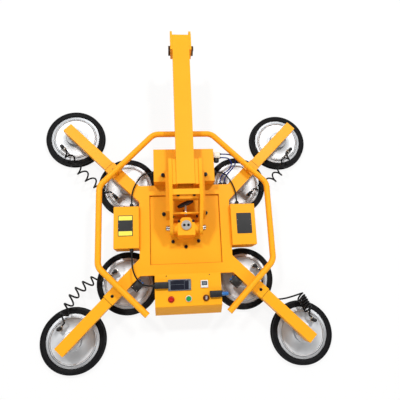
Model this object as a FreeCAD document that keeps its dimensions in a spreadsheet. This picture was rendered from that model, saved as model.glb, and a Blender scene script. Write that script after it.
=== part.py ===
import FreeCAD, Part
import math
import os
import re
import Sketcher

# Vacuum lifter for glass panels, lying on its eight suction cups, boom folded flat.
# +Z points away from the glass, +Y towards the lifting head, Z = 0 at the cup lips.
# All lengths are millimetres and all angles degrees.

# Driving dimensions, grouped by the piece that they belong to.
SIZES = {
    # suction cups: rubber ring on an aluminium disc
    "cup_radius": 150, "cup_lip": 6, "cup_lip_width": 6,
    "cup_neck_radius": 143, "cup_neck_height": 12,
    "cup_shoulder_radius": 146, "cup_ring_height": 31,
    "cup_mouth_radius": 122, "cup_ledge": 8,
    "disc_low": 16, "disc_thick": 10,
    "ridge_radius": 104, "ridge_half": 4, "ridge_rise": 4,
    "boss_radius": 42, "boss_top": 52, "stud_radius": 16,
    "nipple_across": 80, "nipple_radius": 9, "nipple_top": 71,
    "barb_radius": 6, "barb_height": 62, "barb_length": 22,
    # sliding arms, the sleeves that guide them and the hangers over the cups
    "arm_angle": 45, "arm_offset": 42, "arm_width": 50, "arm_wall": 4,
    "arm_bottom": 82, "arm_tail": 290, "arm_end": 738, "arm_play": 0.5,
    "sleeve_wall": 2.5, "sleeve_root": 208, "sleeve_end": 445, "bore_root": 255,
    "hanger_height": 15, "hanger_length": 44,
    "cup_inner": 336, "cup_set_upper_left": 715, "cup_set_upper_right": 671,
    "cup_set_lower_left": 688, "cup_set_lower_right": 715,
    "lock_screw_inset": 27, "lock_screw_radius": 7, "lock_screw_proud": 3,
    # frame ring, sunk panel and trays
    "frame_half_x": 215, "frame_half_y": 212, "border": 48, "frame_wall": 5,
    "panel_drop": 12, "panel_thick": 6, "tray_thick": 4, "tray_inset": 1,
    # handle rail
    "rail_radius": 14, "rail_height": 175, "rail_side": 396, "rail_top": 460,
    "rail_bar_half": 140, "rail_low": 168, "rail_foot_half": 180, "rail_bend": 55,
    "post_radius": 10,
    # boxes
    "shell_wall": 3, "seat_gap": 0.3,
    "box_width": 116, "box_low": 88, "box_high": 107, "box_floor": 40, "box_front": 160,
    "battery_inset": 14, "battery_height": 92,
    "pump_half": 143, "pump_depth": 160, "pump_floor": 60, "pump_front": 200,
    "motor_radius": 42, "motor_gap": 23, "pump_head_length": 62, "pump_head_half": 50,
    "control_half": 146, "control_depth": 174.7, "bevel_depth": 37, "bevel_height": 150,
    # what sits on the control box
    "display_x": -38, "display_drop": 47.7, "display_half_x": 50, "display_half_y": 24,
    "display_thick": 7, "screen_inset": 10, "screen_rim": 3, "screen_depth": 2,
    "gauge_x": 71, "gauge_drop": 47.7, "gauge_half": 16, "gauge_thick": 8, "gauge_rim": 4,
    "button_pitch": 76, "button_drop": 107.7, "button_radius": 10.5, "button_lift": 3,
    "button_thick": 8, "stem_radius": 7.6, "stem_dip": 0.2, "stem_play": 0.4,
    "contact_radius": 11, "contact_depth": 8,
    "bezel_radius": 14, "bezel_height": 6, "bezel_play": 0.5,
    "knob_rise": 6, "grip_bar_half": 3.5, "grip_bar_rise": 8,
    "plug_half": 14, "plug_thick": 18, "power_plug_drop": 46.7, "air_plug_drop": 92.7,
    "air_plug_gap": 3, "relief_radius": 6, "relief_length": 14,
    "coupling_radius": 9, "coupling_length": 28,
    # cable glands, filter, vacuum switches
    "gland_radius": 10, "gland_length": 16, "gland_height": 143, "gland_inset": 34.7,
    "gland_entry_inset": 59.7, "line_gland_gap": 1.4, "line_gland_share": 0.14,
    "line_pitch_share": 0.308, "line_gland_drop": 25,
    "filter_inset": 21.3, "filter_head_half": 15, "filter_head_width": 36, "filter_height": 160,
    "line_port_y": 7, "line_port_z": 3, "line_port_drop": 8,
    "bowl_radius": 13, "bowl_length": 22,
    "switch_gap": 12.2, "switch_half": 23, "switch_depth": 40, "switch_low": 88,
    "switch_high": 124,
    # bolts
    "slew_count": 8, "slew_circle": 85, "slew_head_radius": 8, "slew_head": 8, "slew_shank": 5,
    "panel_bolt_x": 100, "panel_bolt_y": 73, "pump_bolt_inset": 30.7,
    "panel_head_radius": 9, "panel_head": 10, "panel_shank": 6, "panel_shank_length": 12,
    "hole_play": 0.2,
    # turntable
    "axle_radius": 20, "axle_flange_radius": 100, "axle_flange": 12, "run_play": 0.05,
    "cap_radius": 22, "cap_thick": 8, "cap_screw_x": 9, "cap_screw_radius": 4.5,
    "cap_screw_depth": 5,
    "yoke_foot_radius": 60, "yoke_lift": 10, "yoke_plate": 12, "yoke_half_x": 65,
    "yoke_half_y": 48, "hub_half": 40, "hub_low": 45, "hub_high": 36, "hub_shoulder": 8,
    "hub_nose_half": 18, "hub_top": 222, "lock_hole_depth": 10,
    # tilt joint, fork and boom
    "tilt_y": -8, "tilt_z": 195, "trunnion_radius": 11, "trunnion_head_radius": 13,
    "trunnion_head": 16, "trunnion_grip": 12, "tilt_boss_radius": 25,
    "bush_wall": 4, "eye_flank_share": 0.94, "eye_back_share": 0.33,
    "fork_gap_half": 59, "fork_plate": 15, "fork_eye_radius": 34,
    "fork_step": 97, "fork_end": 283, "fork_heel": 125, "fork_toe": 60,
    "cheek": 15, "cheek_start": 30, "cheek_end": 245, "cheek_top": 250,
    "cheek_heel": 118, "cheek_drop": 10,
    "boom_width": 80, "boom_wall": 5, "boom_low": 240, "boom_start": 167, "boom_end": 905,
    "web_thick": 8, "web_start": 112, "packer_drop": 8,
    "tie_start": 119, "tie_width": 25, "tie_height": 22, "tie_drop": 2,
    "lock_bar_y": 52, "lock_bar": 8, "lock_bar_half": 15, "lock_height": 210,
    "lock_pin_radius": 7, "lock_tip_y": 48, "grip_y": 101, "grip_half": 39,
    "grip_radius": 11, "grip_end_radius": 5, "grip_barrel_half": 20, "grip_turn": 80,
    "grip_heading": 20,
    # lifting head
    "head_lap": 74, "head_plate": 10, "head_web": 6, "head_fit": 0.2,
    "eye_reach": 20, "eye_radius": 13, "eye_lobe": 28,
    "head_bolt_inset": 56, "head_bolt_pitch": 36, "head_bolt_radius": 8,
    "head_nut_radius": 13, "head_nut": 10,
    # hoses and cables
    "hose_radius": 4, "curl_radius": 20, "cable_radius": 3.5, "air_line_radius": 3,
    "upper_left_curl_count": 5, "upper_right_curl_count": 5, "lower_left_curl_count": 6,
    "lower_right_curl_count": 6,
    "hose_sides": 8, "cable_sides": 12,
    # how far cutting shapes reach past what they cut
    "overrun": 2,
}

# Places worked out from the driving dimensions.
PLACES = {
    "head_root": "boom_end - head_lap",
    "eye_y": "boom_end + eye_reach",
    "head_bolt_y": "boom_end - head_bolt_inset",
    "axis_x": "(max(cup_set_upper_left; cup_set_lower_left)"
              " - max(cup_set_upper_right; cup_set_lower_right)) * cos(arm_angle) / 2",
    "axis_y": "(max(cup_set_lower_left; cup_set_lower_right) * sin(arm_angle) + cup_radius"
              " - eye_y - eye_lobe) / 2",
    "heading_upper_right": "arm_angle",
    "heading_upper_left": "180 - arm_angle",
    "heading_lower_left": "180 + arm_angle",
    "heading_lower_right": "-arm_angle",
    "disc_top": "disc_low + disc_thick",
    "arm_top": "arm_bottom + arm_width",
    "bore_half": "arm_width / 2 + arm_play",
    "sleeve_half": "bore_half + sleeve_wall",
    "sleeve_bottom": "arm_bottom - arm_play - sleeve_wall",
    "sleeve_top": "arm_top + arm_play + sleeve_wall",
    "hanger_bottom": "arm_bottom - hanger_height",
    "recess_x": "frame_half_x - border",
    "recess_y": "frame_half_y - border",
    "panel_top": "sleeve_top - panel_drop",
    "panel_low": "panel_top - panel_thick",
    "box_inner": "frame_half_x + seat_gap",
    "pump_low_y": "frame_half_y + seat_gap",
    "pump_high_y": "pump_low_y + pump_depth",
    "pump_bolt_y": "pump_low_y + pump_bolt_inset",
    "motor_length": "pump_half - motor_gap",
    "gland_x": "box_inner + gland_inset",
    "gland_entry_y": "pump_low_y + gland_entry_inset",
    "line_gland_room": "arm_offset + frame_half_y / tan(arm_angle) - sleeve_half / sin(arm_angle)"
                       " - pump_half",
    "line_gland_radius": "line_gland_room * line_gland_share",
    "line_gland_pitch": "line_gland_room * line_pitch_share",
    "line_gland_x": "pump_half + line_gland_room - line_gland_radius - line_gland_gap",
    "filter_y": "pump_high_y - filter_inset",
    "switch_along": "(frame_half_y + switch_gap) / sin(arm_angle) + switch_half"
                    " - sleeve_half / tan(arm_angle)",
    "control_high": "frame_half_y + seat_gap",
    "control_low": "control_high + control_depth",
    "bevel_start": "control_low - bevel_depth",
    "display_y": "-control_high - display_drop",
    "gauge_y": "-control_high - gauge_drop",
    "button_y": "-control_high - button_drop",
    "power_plug_y": "-control_high - power_plug_drop",
    "air_plug_y": "-control_high - air_plug_drop",
    "air_plug_length": "control_half - button_pitch - bezel_radius - air_plug_gap",
    "button_low": "pump_front + button_lift",
    "button_top": "button_low + button_thick",
    "stem_length": "button_lift + stem_dip",
    "yoke_low": "panel_top",
    "yoke_plate_low": "panel_top + yoke_lift",
    "yoke_plate_top": "yoke_plate_low + yoke_plate",
    "axle_top": "hub_top + seat_gap",
    "boom_half": "boom_width / 2",
    "boom_top": "boom_low + boom_width",
    "boom_mid": "boom_low + boom_half",
    "fork_outer": "fork_gap_half + fork_plate",
    "bush_radius": "trunnion_radius + run_play + bush_wall",
    "trunnion_root": "hub_half - trunnion_grip",
    "rail_upper": "rail_top - rail_side + rail_bar_half",
    "rail_foot": "rail_low + rail_side - rail_foot_half",
    "upper_post": "(rail_side + rail_upper - arm_offset) / (cos(arm_angle) + sin(arm_angle))",
    "lower_post": "(rail_side + rail_low - arm_offset) / (cos(arm_angle) + sin(arm_angle))",
}

SIDES = {"upper_left": -1, "upper_right": 1, "lower_left": -1, "lower_right": 1}
HOSE_SIDES = {"upper_left": 1, "upper_right": -1, "lower_left": -1, "lower_right": 1}
UP = FreeCAD.Vector(0, 0, 1)
AXES = {
    "X": FreeCAD.Rotation(FreeCAD.Vector(0, 1, 0), 90),
    "-X": FreeCAD.Rotation(FreeCAD.Vector(0, 1, 0), -90),
    "Y": FreeCAD.Rotation(FreeCAD.Vector(1, 0, 0), -90),
    "-Y": FreeCAD.Rotation(FreeCAD.Vector(1, 0, 0), 90),
    "Z": FreeCAD.Rotation(),
}

doc = FreeCAD.newDocument("panel_lifter")
sizes = doc.addObject("Spreadsheet::Sheet", "sizes")
places = doc.addObject("Spreadsheet::Sheet", "places")


def bound(text):
    """Expression text with each named value tied to its sheet."""
    def tie(match):
        word = match.group()
        if word in SIZES:
            return "sizes." + word
        return "places." + word if word in PLACES else word
    return re.sub(r"[a-z][a-z_]*", tie, text)


for row, (name, number) in enumerate(SIZES.items(), start=1):
    sizes.set("A%d" % row, name)
    sizes.set("B%d" % row, str(number))
    sizes.setAlias("B%d" % row, name)
for row, (name, formula) in enumerate(PLACES.items(), start=1):
    places.set("A%d" % row, name)
    places.setAlias("B%d" % row, name)
for row, (name, formula) in enumerate(PLACES.items(), start=1):
    places.set("B%d" % row, "=" + bound(formula).replace("places.", ""))
doc.recompute()


def num(name):
    """The number behind a named value."""
    return float(getattr(sizes if name in SIZES else places, name))


def bind(piece, member, text):
    piece.setExpression(member, bound(text))


def place(piece, at, turn=AXES["Z"]):
    """Puts a piece at a point given from the turntable axis on the cup plane."""
    piece.Placement = FreeCAD.Placement(FreeCAD.Vector(), turn)
    bind(piece, "Placement.Base.x", "axis_x + " + at[0])
    bind(piece, "Placement.Base.y", "axis_y + " + at[1])
    bind(piece, "Placement.Base.z", at[2])
    return piece


def block(name, across, along, up):
    """Box between low and high limits along X, Y and Z."""
    piece = doc.addObject("Part::Box", name)
    for member, limits in (("Length", across), ("Width", along), ("Height", up)):
        bind(piece, member, "(%s) - (%s)" % (limits[1], limits[0]))
    return place(piece, (across[0], along[0], up[0]))


def rod(name, radius, at, length, turn=AXES["Z"]):
    """Cylinder that starts at a point and runs along a turned Z axis."""
    piece = doc.addObject("Part::Cylinder", name)
    bind(piece, "Radius", radius)
    bind(piece, "Height", length)
    return place(piece, at, turn)


def join(label, pieces):
    whole = doc.addObject("Part::MultiFuse", label)
    whole.Shapes = pieces
    whole.Refine = True
    return whole


def cut(label, base, tools):
    whole = doc.addObject("Part::Cut", label)
    whole.Base = base
    whole.Tool = tools[0] if len(tools) == 1 else join(label + "_cutters", tools)
    whole.Refine = True
    return whole


def group(label, pieces):
    """Like pieces that stay separate solids in one node."""
    whole = doc.addObject("Part::Compound", label)
    whole.Links = pieces
    return whole


def outline(body, name, plane, points):
    """Closed sketch of straight lines, each corner dimensioned from the origin."""
    sketch = body.newObject("Sketcher::SketchObject", name)
    origin_plane = [part for part in body.Origin.OriginFeatures if part.Role == plane][0]
    sketch.AttachmentSupport = (origin_plane, [""])
    sketch.MapMode = "FlatFace"
    count = len(points)
    turns = [2 * math.pi * step / count for step in range(count)]
    rough = [FreeCAD.Vector(math.cos(turn), math.sin(turn), 0) for turn in turns]
    for step in range(count):
        sketch.addGeometry(Part.LineSegment(rough[step], rough[(step + 1) % count]))
    for step in range(count):
        sketch.addConstraint(Sketcher.Constraint("Coincident", step, 2, (step + 1) % count, 1))
    for step, corner in enumerate(points):
        for kind, text in zip(("DistanceX", "DistanceY"), corner):
            rule = sketch.addConstraint(Sketcher.Constraint(kind, -1, 1, step, 1, 1.0))
            sketch.setExpression("Constraints[%d]" % rule, bound(text))
    return sketch


def turned(label, points, at):
    """Round body: an outline in radius and height, revolved about Z."""
    body = doc.addObject("PartDesign::Body", label)
    sketch = outline(body, label + "_section", "XZ_Plane", points)
    ring = body.newObject("PartDesign::Revolution", label + "_turn")
    ring.Profile = sketch
    ring.ReferenceAxis = (sketch, ["V_Axis"])
    ring.Angle = 360
    return place(body, at)


def plate(label, plane, points, thick, at):
    """Flat body: an outline padded evenly to both sides of its plane."""
    body = doc.addObject("PartDesign::Body", label)
    sketch = outline(body, label + "_outline", plane, points)
    pad = body.newObject("PartDesign::Pad", label + "_pad")
    pad.Profile = sketch
    pad.SideType = "Symmetric"
    bind(pad, "Length", thick)
    return place(body, at)


def heading_turn(corner):
    return FreeCAD.Rotation(UP, num("heading_" + corner))


def on_arm(corner, along, across, up):
    """Point given along and across an arm's centre line."""
    heading = "heading_" + corner
    offset = "%d * arm_offset" % SIDES[corner]
    return (
        "%s + (%s) * cos(%s) - (%s) * sin(%s)" % (offset, along, heading, across, heading),
        "(%s) * sin(%s) + (%s) * cos(%s)" % (along, heading, across, heading),
        up,
    )


def arm_block(name, corner, along, across, up):
    """Box between limits along and across an arm's centre line."""
    piece = doc.addObject("Part::Box", name)
    for member, limits in (("Length", along), ("Width", across), ("Height", up)):
        bind(piece, member, "(%s) - (%s)" % (limits[1], limits[0]))
    return place(piece, on_arm(corner, along[0], across[0], up[0]), heading_turn(corner))


def bolt(name, at, head_radius, head, shank_radius, shank):
    """Cap screw that points down, its head standing on the given point."""
    low = "%s - %s" % (at[2], shank)
    return join(name, [
        rod(name + "_head", head_radius, at, head),
        rod(name + "_shank", shank_radius, (at[0], at[1], low), shank),
    ])


# Suction cups
RING_SECTION = [
    ("cup_radius", "0"),
    ("cup_radius", "cup_lip"),
    ("cup_neck_radius", "cup_neck_height"),
    ("cup_shoulder_radius", "cup_ring_height"),
    ("cup_mouth_radius", "cup_ring_height"),
    ("cup_mouth_radius", "disc_low"),
    ("cup_mouth_radius - cup_ledge", "disc_low"),
    ("cup_radius - cup_lip_width", "0"),
]
DISC_SECTION = [
    ("0", "disc_low"),
    ("cup_mouth_radius - seat_gap", "disc_low"),
    ("cup_mouth_radius - seat_gap", "disc_top"),
    ("ridge_radius + ridge_half", "disc_top"),
    ("ridge_radius", "disc_top + ridge_rise"),
    ("ridge_radius - ridge_half", "disc_top"),
    ("boss_radius", "disc_top"),
    ("boss_radius", "boss_top"),
    ("stud_radius", "boss_top"),
    ("stud_radius", "hanger_bottom"),
    ("0", "hanger_bottom"),
]


def suction_cup(kind, corner, along, barb_turn):
    """Rubber ring and aluminium disc with boss, stud and hose nipple."""
    name = "%s_%s" % (kind, corner)
    turned(name + "_ring", RING_SECTION, on_arm(corner, along, "0", "0"))
    core = turned(name + "_core", DISC_SECTION, on_arm(corner, along, "0", "0"))
    across = "%d * nipple_across" % HOSE_SIDES[corner]
    foot = "disc_top - overrun"
    nipple = rod(name + "_nipple", "nipple_radius", on_arm(corner, along, across, foot),
                 "nipple_top - (%s)" % foot)
    barb = rod(name + "_barb", "barb_radius", on_arm(corner, along, across, "barb_height"),
               "barb_length", heading_turn(corner).multiply(AXES[barb_turn]))
    join(name + "_disc", [core, nipple, barb])


for corner in SIDES:
    suction_cup("inner", corner, "cup_inner", "X")
    suction_cup("outer", corner, "cup_set_" + corner, "-X")


# Sliding arms: square tubes, each with a hanger block welded under its outer end
for corner in SIDES:
    half = "arm_width / 2"
    tube = cut(corner + "_tube", arm_block(
        corner + "_tube_outside", corner, ("arm_tail", "arm_end"), ("-" + half, half),
        ("arm_bottom", "arm_top")), [arm_block(
            corner + "_tube_inside", corner, ("arm_tail - overrun", "arm_end - arm_wall"),
            ("arm_wall - " + half, half + " - arm_wall"),
            ("arm_bottom + arm_wall", "arm_top - arm_wall"))])
    spot = "cup_set_" + corner
    hanger = arm_block(corner + "_hanger", corner,
                       (spot + " - hanger_length / 2", spot + " + hanger_length / 2"),
                       ("-" + half, half), ("hanger_bottom", "arm_bottom"))
    join("arm_" + corner, [tube, hanger])


# Main frame: channel ring, four sleeves, sunk panel, hangers and trays, welded together
ring = block("ring_outside", ("-frame_half_x", "frame_half_x"),
             ("-frame_half_y", "frame_half_y"), ("sleeve_bottom", "sleeve_top"))
ring_cutters = [block("recess", ("-recess_x", "recess_x"), ("-recess_y", "recess_y"),
                      ("sleeve_bottom - overrun", "sleeve_top + overrun"))]
channel = ("sleeve_bottom - overrun", "sleeve_top - frame_wall")
for sign in (-1, 1):
    near_x = "%d * (recess_x + frame_wall)" % sign
    far_x = "%d * (frame_half_x - frame_wall)" % sign
    near_y = "%d * (recess_y + frame_wall)" % sign
    far_y = "%d * (frame_half_y - frame_wall)" % sign
    span_x = ("frame_wall - frame_half_x", "frame_half_x - frame_wall")
    span_y = ("frame_wall - frame_half_y", "frame_half_y - frame_wall")
    side_x = (near_x, far_x) if sign > 0 else (far_x, near_x)
    side_y = (near_y, far_y) if sign > 0 else (far_y, near_y)
    ring_cutters.append(block("side_channel_%d" % (sign + 1), side_x, span_y, channel))
    ring_cutters.append(block("end_channel_%d" % (sign + 1), span_x, side_y, channel))
frame_pieces = [cut("ring", ring, ring_cutters)]
frame_pieces.append(block("sunk_panel", ("-recess_x - frame_wall", "recess_x + frame_wall"),
                          ("-recess_y - frame_wall", "recess_y + frame_wall"),
                          ("panel_low", "panel_top")))
bores = []
for corner in SIDES:
    frame_pieces.append(arm_block(
        corner + "_sleeve", corner, ("sleeve_root", "sleeve_end"),
        ("-sleeve_half", "sleeve_half"), ("sleeve_bottom", "sleeve_top")))
    frame_pieces.append(arm_block(
        corner + "_inner_hanger", corner,
        ("cup_inner - hanger_length / 2", "cup_inner + hanger_length / 2"),
        ("-arm_width / 2", "arm_width / 2"), ("hanger_bottom", "sleeve_bottom")))
    bores.append(arm_block(
        corner + "_sleeve_bore", corner, ("bore_root", "sleeve_end + overrun"),
        ("-bore_half", "bore_half"), ("arm_bottom - arm_play", "arm_top + arm_play")))
    bores.append(rod(
        corner + "_screw_hole", "lock_screw_radius + hole_play",
        on_arm(corner, "sleeve_end - lock_screw_inset", "0", "arm_top"),
        "sleeve_top + overrun - arm_top"))

box_tray = ("box_floor - tray_thick", "box_floor")
for sign, side in ((-1, "battery"), (1, "charger")):
    outer = "%d * (box_inner + box_width - tray_inset)" % sign
    inner = "%d * (frame_half_x - frame_wall)" % sign
    wall = "%d * frame_half_x" % sign
    deep = (inner, outer) if sign > 0 else (outer, inner)
    thin = (inner, wall) if sign > 0 else (wall, inner)
    reach = ("tray_inset - box_low", "box_high - tray_inset")
    frame_pieces.append(block(side + "_tray", deep, reach, box_tray))
    frame_pieces.append(block(side + "_flange", thin, reach,
                              ("box_floor - tray_thick", "sleeve_bottom + frame_wall")))
large_tray = ("pump_floor - tray_thick", "pump_floor")
large_flange = ("pump_floor - tray_thick", "sleeve_bottom + frame_wall")
pump_span = ("tray_inset - pump_half", "pump_half - tray_inset")
frame_pieces.append(block("pump_tray", pump_span, (
    "frame_half_y - frame_wall", "pump_high_y - tray_inset"), large_tray))
frame_pieces.append(block("pump_flange", pump_span, (
    "frame_half_y - frame_wall", "frame_half_y"), large_flange))
control_span = ("tray_inset - control_half", "control_half - tray_inset")
frame_pieces.append(block("control_tray", control_span, (
    "tray_inset - control_low", "frame_wall - frame_half_y"), large_tray))
frame_pieces.append(block("control_flange", control_span, (
    "-frame_half_y", "frame_wall - frame_half_y"), large_flange))

slew_spots = []
for step in range(int(num("slew_count"))):
    turn = "360 / slew_count * %d" % step
    slew_spots.append(("slew_circle * cos(%s)" % turn, "slew_circle * sin(%s)" % turn))
panel_holes = [rod("axle_hole", "axle_radius + hole_play", ("0", "0", "panel_low - overrun"),
                   "panel_thick + 2 * overrun")]
for step, spot in enumerate(slew_spots):
    panel_holes.append(rod("slew_hole_%d" % step, "slew_shank + hole_play",
                           (spot[0], spot[1], "panel_low - overrun"),
                           "panel_thick + 2 * overrun"))
for sign in (-1, 1):
    panel_holes.append(rod("panel_hole_%d" % (sign + 1), "panel_shank + hole_play",
                           ("%d * panel_bolt_x" % sign, "panel_bolt_y", "panel_low - overrun"),
                           "panel_thick + 2 * overrun"))
cut("main_frame", join("frame_weldment", frame_pieces), bores + panel_holes)

group("arm_lock_screws", [rod(
    corner + "_lock_screw", "lock_screw_radius",
    on_arm(corner, "sleeve_end - lock_screw_inset", "0", "arm_top + arm_play"),
    "sleeve_wall + lock_screw_proud") for corner in SIDES])


# Turntable axle: flange bolted up under the sunk panel, shaft standing through it
flange_holes = [rod("flange_hole_%d" % step, "slew_shank + hole_play",
                    (spot[0], spot[1], "panel_low - axle_flange - overrun"),
                    "axle_flange + 2 * overrun") for step, spot in enumerate(slew_spots)]
cut("turntable_axle", join("axle_blank", [
    rod("axle_flange_disc", "axle_flange_radius", ("0", "0", "panel_low - axle_flange"),
        "axle_flange"),
    rod("axle_shaft", "axle_radius", ("0", "0", "panel_low - axle_flange"),
        "axle_top - panel_low + axle_flange"),
]), flange_holes)
cut("axle_cap", rod("cap_disc", "cap_radius", ("0", "0", "axle_top"), "cap_thick"), [
    rod("cap_screw_%d" % (sign + 1), "cap_screw_radius",
        ("%d * cap_screw_x" % sign, "0", "axle_top + cap_thick - cap_screw_depth"),
        "cap_screw_depth + overrun") for sign in (-1, 1)])
group("slew_bolts", [bolt("slew_bolt_%d" % step, (spot[0], spot[1], "panel_top"),
                          "slew_head_radius", "slew_head", "slew_shank",
                          "panel_thick + axle_flange") for step, spot in enumerate(slew_spots)])


# Pump cover, pump, battery and charger boxes
def cover(label, across, along, up, holes):
    """Sheet box open underneath, standing on its tray."""
    inside = block(label + "_inside",
                   (across[0] + " + shell_wall", across[1] + " - shell_wall"),
                   (along[0] + " + shell_wall", along[1] + " - shell_wall"),
                   (up[0] + " - overrun", up[1] + " - shell_wall"))
    return cut(label, block(label + "_outside", across, along, up), [inside] + holes)


cover("pump_box", ("-pump_half", "pump_half"), ("pump_low_y", "pump_high_y"),
      ("pump_floor", "pump_front"),
      [rod("pump_bolt_hole_%d" % (sign + 1), "panel_shank + hole_play",
           ("%d * panel_bolt_x" % sign, "pump_bolt_y", "pump_front - shell_wall - overrun"),
           "shell_wall + 2 * overrun") for sign in (-1, 1)])
pump_mid = "(pump_low_y + pump_high_y) / 2"
join("vacuum_pump", [
    rod("pump_motor", "motor_radius", ("-motor_length", pump_mid, "pump_floor + motor_radius"),
        "motor_length + overrun", AXES["X"]),
    block("pump_head", ("0", "pump_head_length"),
          (pump_mid + " - pump_head_half", pump_mid + " + pump_head_half"),
          ("pump_floor", "pump_floor + 2 * motor_radius")),
    block("pump_foot", ("-motor_length", "0"),
          (pump_mid + " - motor_radius / 2", pump_mid + " + motor_radius / 2"),
          ("pump_floor", "pump_floor + motor_radius")),
])
side_span = ("-box_low", "box_high")
left_box = ("-box_inner - box_width", "-box_inner")
right_box = ("box_inner", "box_inner + box_width")
cover("battery_box", left_box, side_span, ("box_floor", "box_front"), [])
cover("charger_box", right_box, side_span, ("box_floor", "box_front"), [])
block("battery", (left_box[0] + " + battery_inset", left_box[1] + " - battery_inset"),
      ("battery_inset - box_low", "box_high - battery_inset"),
      ("box_floor", "box_floor + battery_height"))
panel_bolt_spots = []
for sign in (-1, 1):
    panel_bolt_spots.append(("%d * panel_bolt_x" % sign, "panel_bolt_y", "panel_top"))
    panel_bolt_spots.append(("%d * panel_bolt_x" % sign, "pump_bolt_y", "pump_front"))
group("panel_bolts", [bolt("panel_bolt_%d" % step, spot, "panel_head_radius", "panel_head",
                           "panel_shank", "panel_shank_length")
                      for step, spot in enumerate(panel_bolt_spots)])


# Control box with its bevelled lower edge, and what sits on it
control_outside = plate("control_outside", "YZ_Plane", [
    ("-control_high", "pump_floor"),
    ("-control_high", "pump_front"),
    ("-bevel_start", "pump_front"),
    ("-control_low", "bevel_height"),
    ("-control_low", "pump_floor"),
], "2 * control_half", ("0", "0", "0"))
control_inside = plate("control_inside", "YZ_Plane", [
    ("-control_high - shell_wall", "pump_floor - overrun"),
    ("-control_high - shell_wall", "pump_front - shell_wall"),
    ("shell_wall / 2 - bevel_start", "pump_front - shell_wall"),
    ("shell_wall - control_low", "bevel_height - shell_wall / 2"),
    ("shell_wall - control_low", "pump_floor - overrun"),
], "2 * (control_half - shell_wall)", ("0", "0", "0"))
BUTTONS = (("red_button", -1), ("green_button", 0), ("selector_knob", 1))
cut("control_box", control_outside, [control_inside] + [
    rod(name + "_hole", "stem_radius + stem_play",
        ("%d * button_pitch" % spot, "button_y", "pump_front - shell_wall - overrun"),
        "shell_wall + 2 * overrun") for name, spot in BUTTONS])
cut("display", block(
    "display_case", ("display_x - display_half_x", "display_x + display_half_x"),
    ("display_y - display_half_y", "display_y + display_half_y"),
    ("pump_front", "pump_front + display_thick")), [block(
        "display_window",
        ("display_x - display_half_x + screen_inset", "display_x + display_half_x - screen_inset"),
        ("display_y - display_half_y + screen_rim", "display_y + display_half_y - screen_rim"),
        ("pump_front + display_thick - screen_depth", "pump_front + display_thick + overrun"))])
cut("gauge", block(
    "gauge_case", ("gauge_x - gauge_half", "gauge_x + gauge_half"),
    ("gauge_y - gauge_half", "gauge_y + gauge_half"),
    ("pump_front", "pump_front + gauge_thick")), [block(
        "gauge_window", ("gauge_x - gauge_half + gauge_rim", "gauge_x + gauge_half - gauge_rim"),
        ("gauge_y", "gauge_y + gauge_half - gauge_rim"),
        ("pump_front + gauge_thick - screen_depth", "pump_front + gauge_thick + overrun"))])
group("button_bezels", [cut(
    name + "_bezel",
    rod(name + "_bezel_outside", "bezel_radius",
        ("%d * button_pitch" % spot, "button_y", "pump_front"), "bezel_height"),
    [rod(name + "_bezel_bore", "button_radius + bezel_play",
         ("%d * button_pitch" % spot, "button_y", "pump_front - overrun"),
         "bezel_height + 2 * overrun")]) for name, spot in BUTTONS] + [
    rod(name + "_contact", "contact_radius",
        ("%d * button_pitch" % spot, "button_y", "pump_front - shell_wall - contact_depth"),
        "contact_depth") for name, spot in BUTTONS])
for name, spot in BUTTONS:
    x = "%d * button_pitch" % spot
    pieces = [
        rod(name + "_stem", "stem_radius", (x, "button_y", "button_low - stem_length"),
            "stem_length"),
        rod(name + "_cap", "button_radius", (x, "button_y", "button_low"), "button_thick"),
    ]
    if name == "selector_knob":
        pieces.append(block(
            "selector_bar", (x + " - grip_bar_half", x + " + grip_bar_half"),
            ("button_y - button_radius + bezel_play", "button_y + button_radius - bezel_play"),
            ("button_top", "button_top + grip_bar_rise")))
    join(name, pieces)
plug_up = ("pump_front", "pump_front + plug_thick")
plug_mid = "pump_front + plug_thick / 2"
join("power_plug", [
    block("power_plug_case", ("-control_half", "display_x - display_half_x - seat_gap"),
          ("power_plug_y - plug_half", "power_plug_y + plug_half"), plug_up),
    rod("power_plug_relief", "relief_radius", ("-control_half", "power_plug_y", plug_mid),
        "relief_length", AXES["-X"]),
])
join("air_plug", [
    block("air_plug_case", ("control_half - air_plug_length", "control_half"),
          ("air_plug_y - plug_half", "air_plug_y + plug_half"), plug_up),
    rod("air_coupling", "coupling_radius", ("control_half", "air_plug_y", plug_mid),
        "coupling_length", AXES["X"]),
])


# Cable glands, vacuum filter and vacuum switches
group("cable_glands", [
    rod("battery_upper_gland", "gland_radius", ("-gland_x", "box_high", "gland_height"),
        "gland_length", AXES["Y"]),
    rod("battery_lower_gland", "gland_radius", ("-gland_x", "-box_low", "gland_height"),
        "gland_length", AXES["-Y"]),
    rod("charger_gland", "gland_radius", ("gland_x", "box_high", "gland_height"),
        "gland_length", AXES["Y"]),
    rod("pump_left_gland", "gland_radius", ("-pump_half", "gland_entry_y", "gland_height"),
        "gland_length", AXES["-X"]),
    rod("pump_right_gland", "gland_radius", ("pump_half", "gland_entry_y", "gland_height"),
        "gland_length", AXES["X"]),
    rod("outer_line_gland", "line_gland_radius",
        ("line_gland_x", "frame_half_y", "sleeve_top - line_gland_drop"),
        "gland_length", AXES["Y"]),
    rod("inner_line_gland", "line_gland_radius",
        ("line_gland_x - line_gland_pitch", "frame_half_y", "sleeve_top - line_gland_drop"),
        "gland_length", AXES["Y"]),
])
join("vacuum_filter", [
    block("filter_head", ("pump_half", "pump_half + filter_head_width"),
          ("filter_y - filter_head_half", "filter_y + filter_head_half"),
          ("filter_height - filter_head_half", "filter_height + filter_head_half")),
    rod("filter_bowl", "bowl_radius",
        ("pump_half + filter_head_width / 2", "filter_y - filter_head_half", "filter_height"),
        "bowl_length", AXES["-Y"]),
])
switches = []
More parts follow.
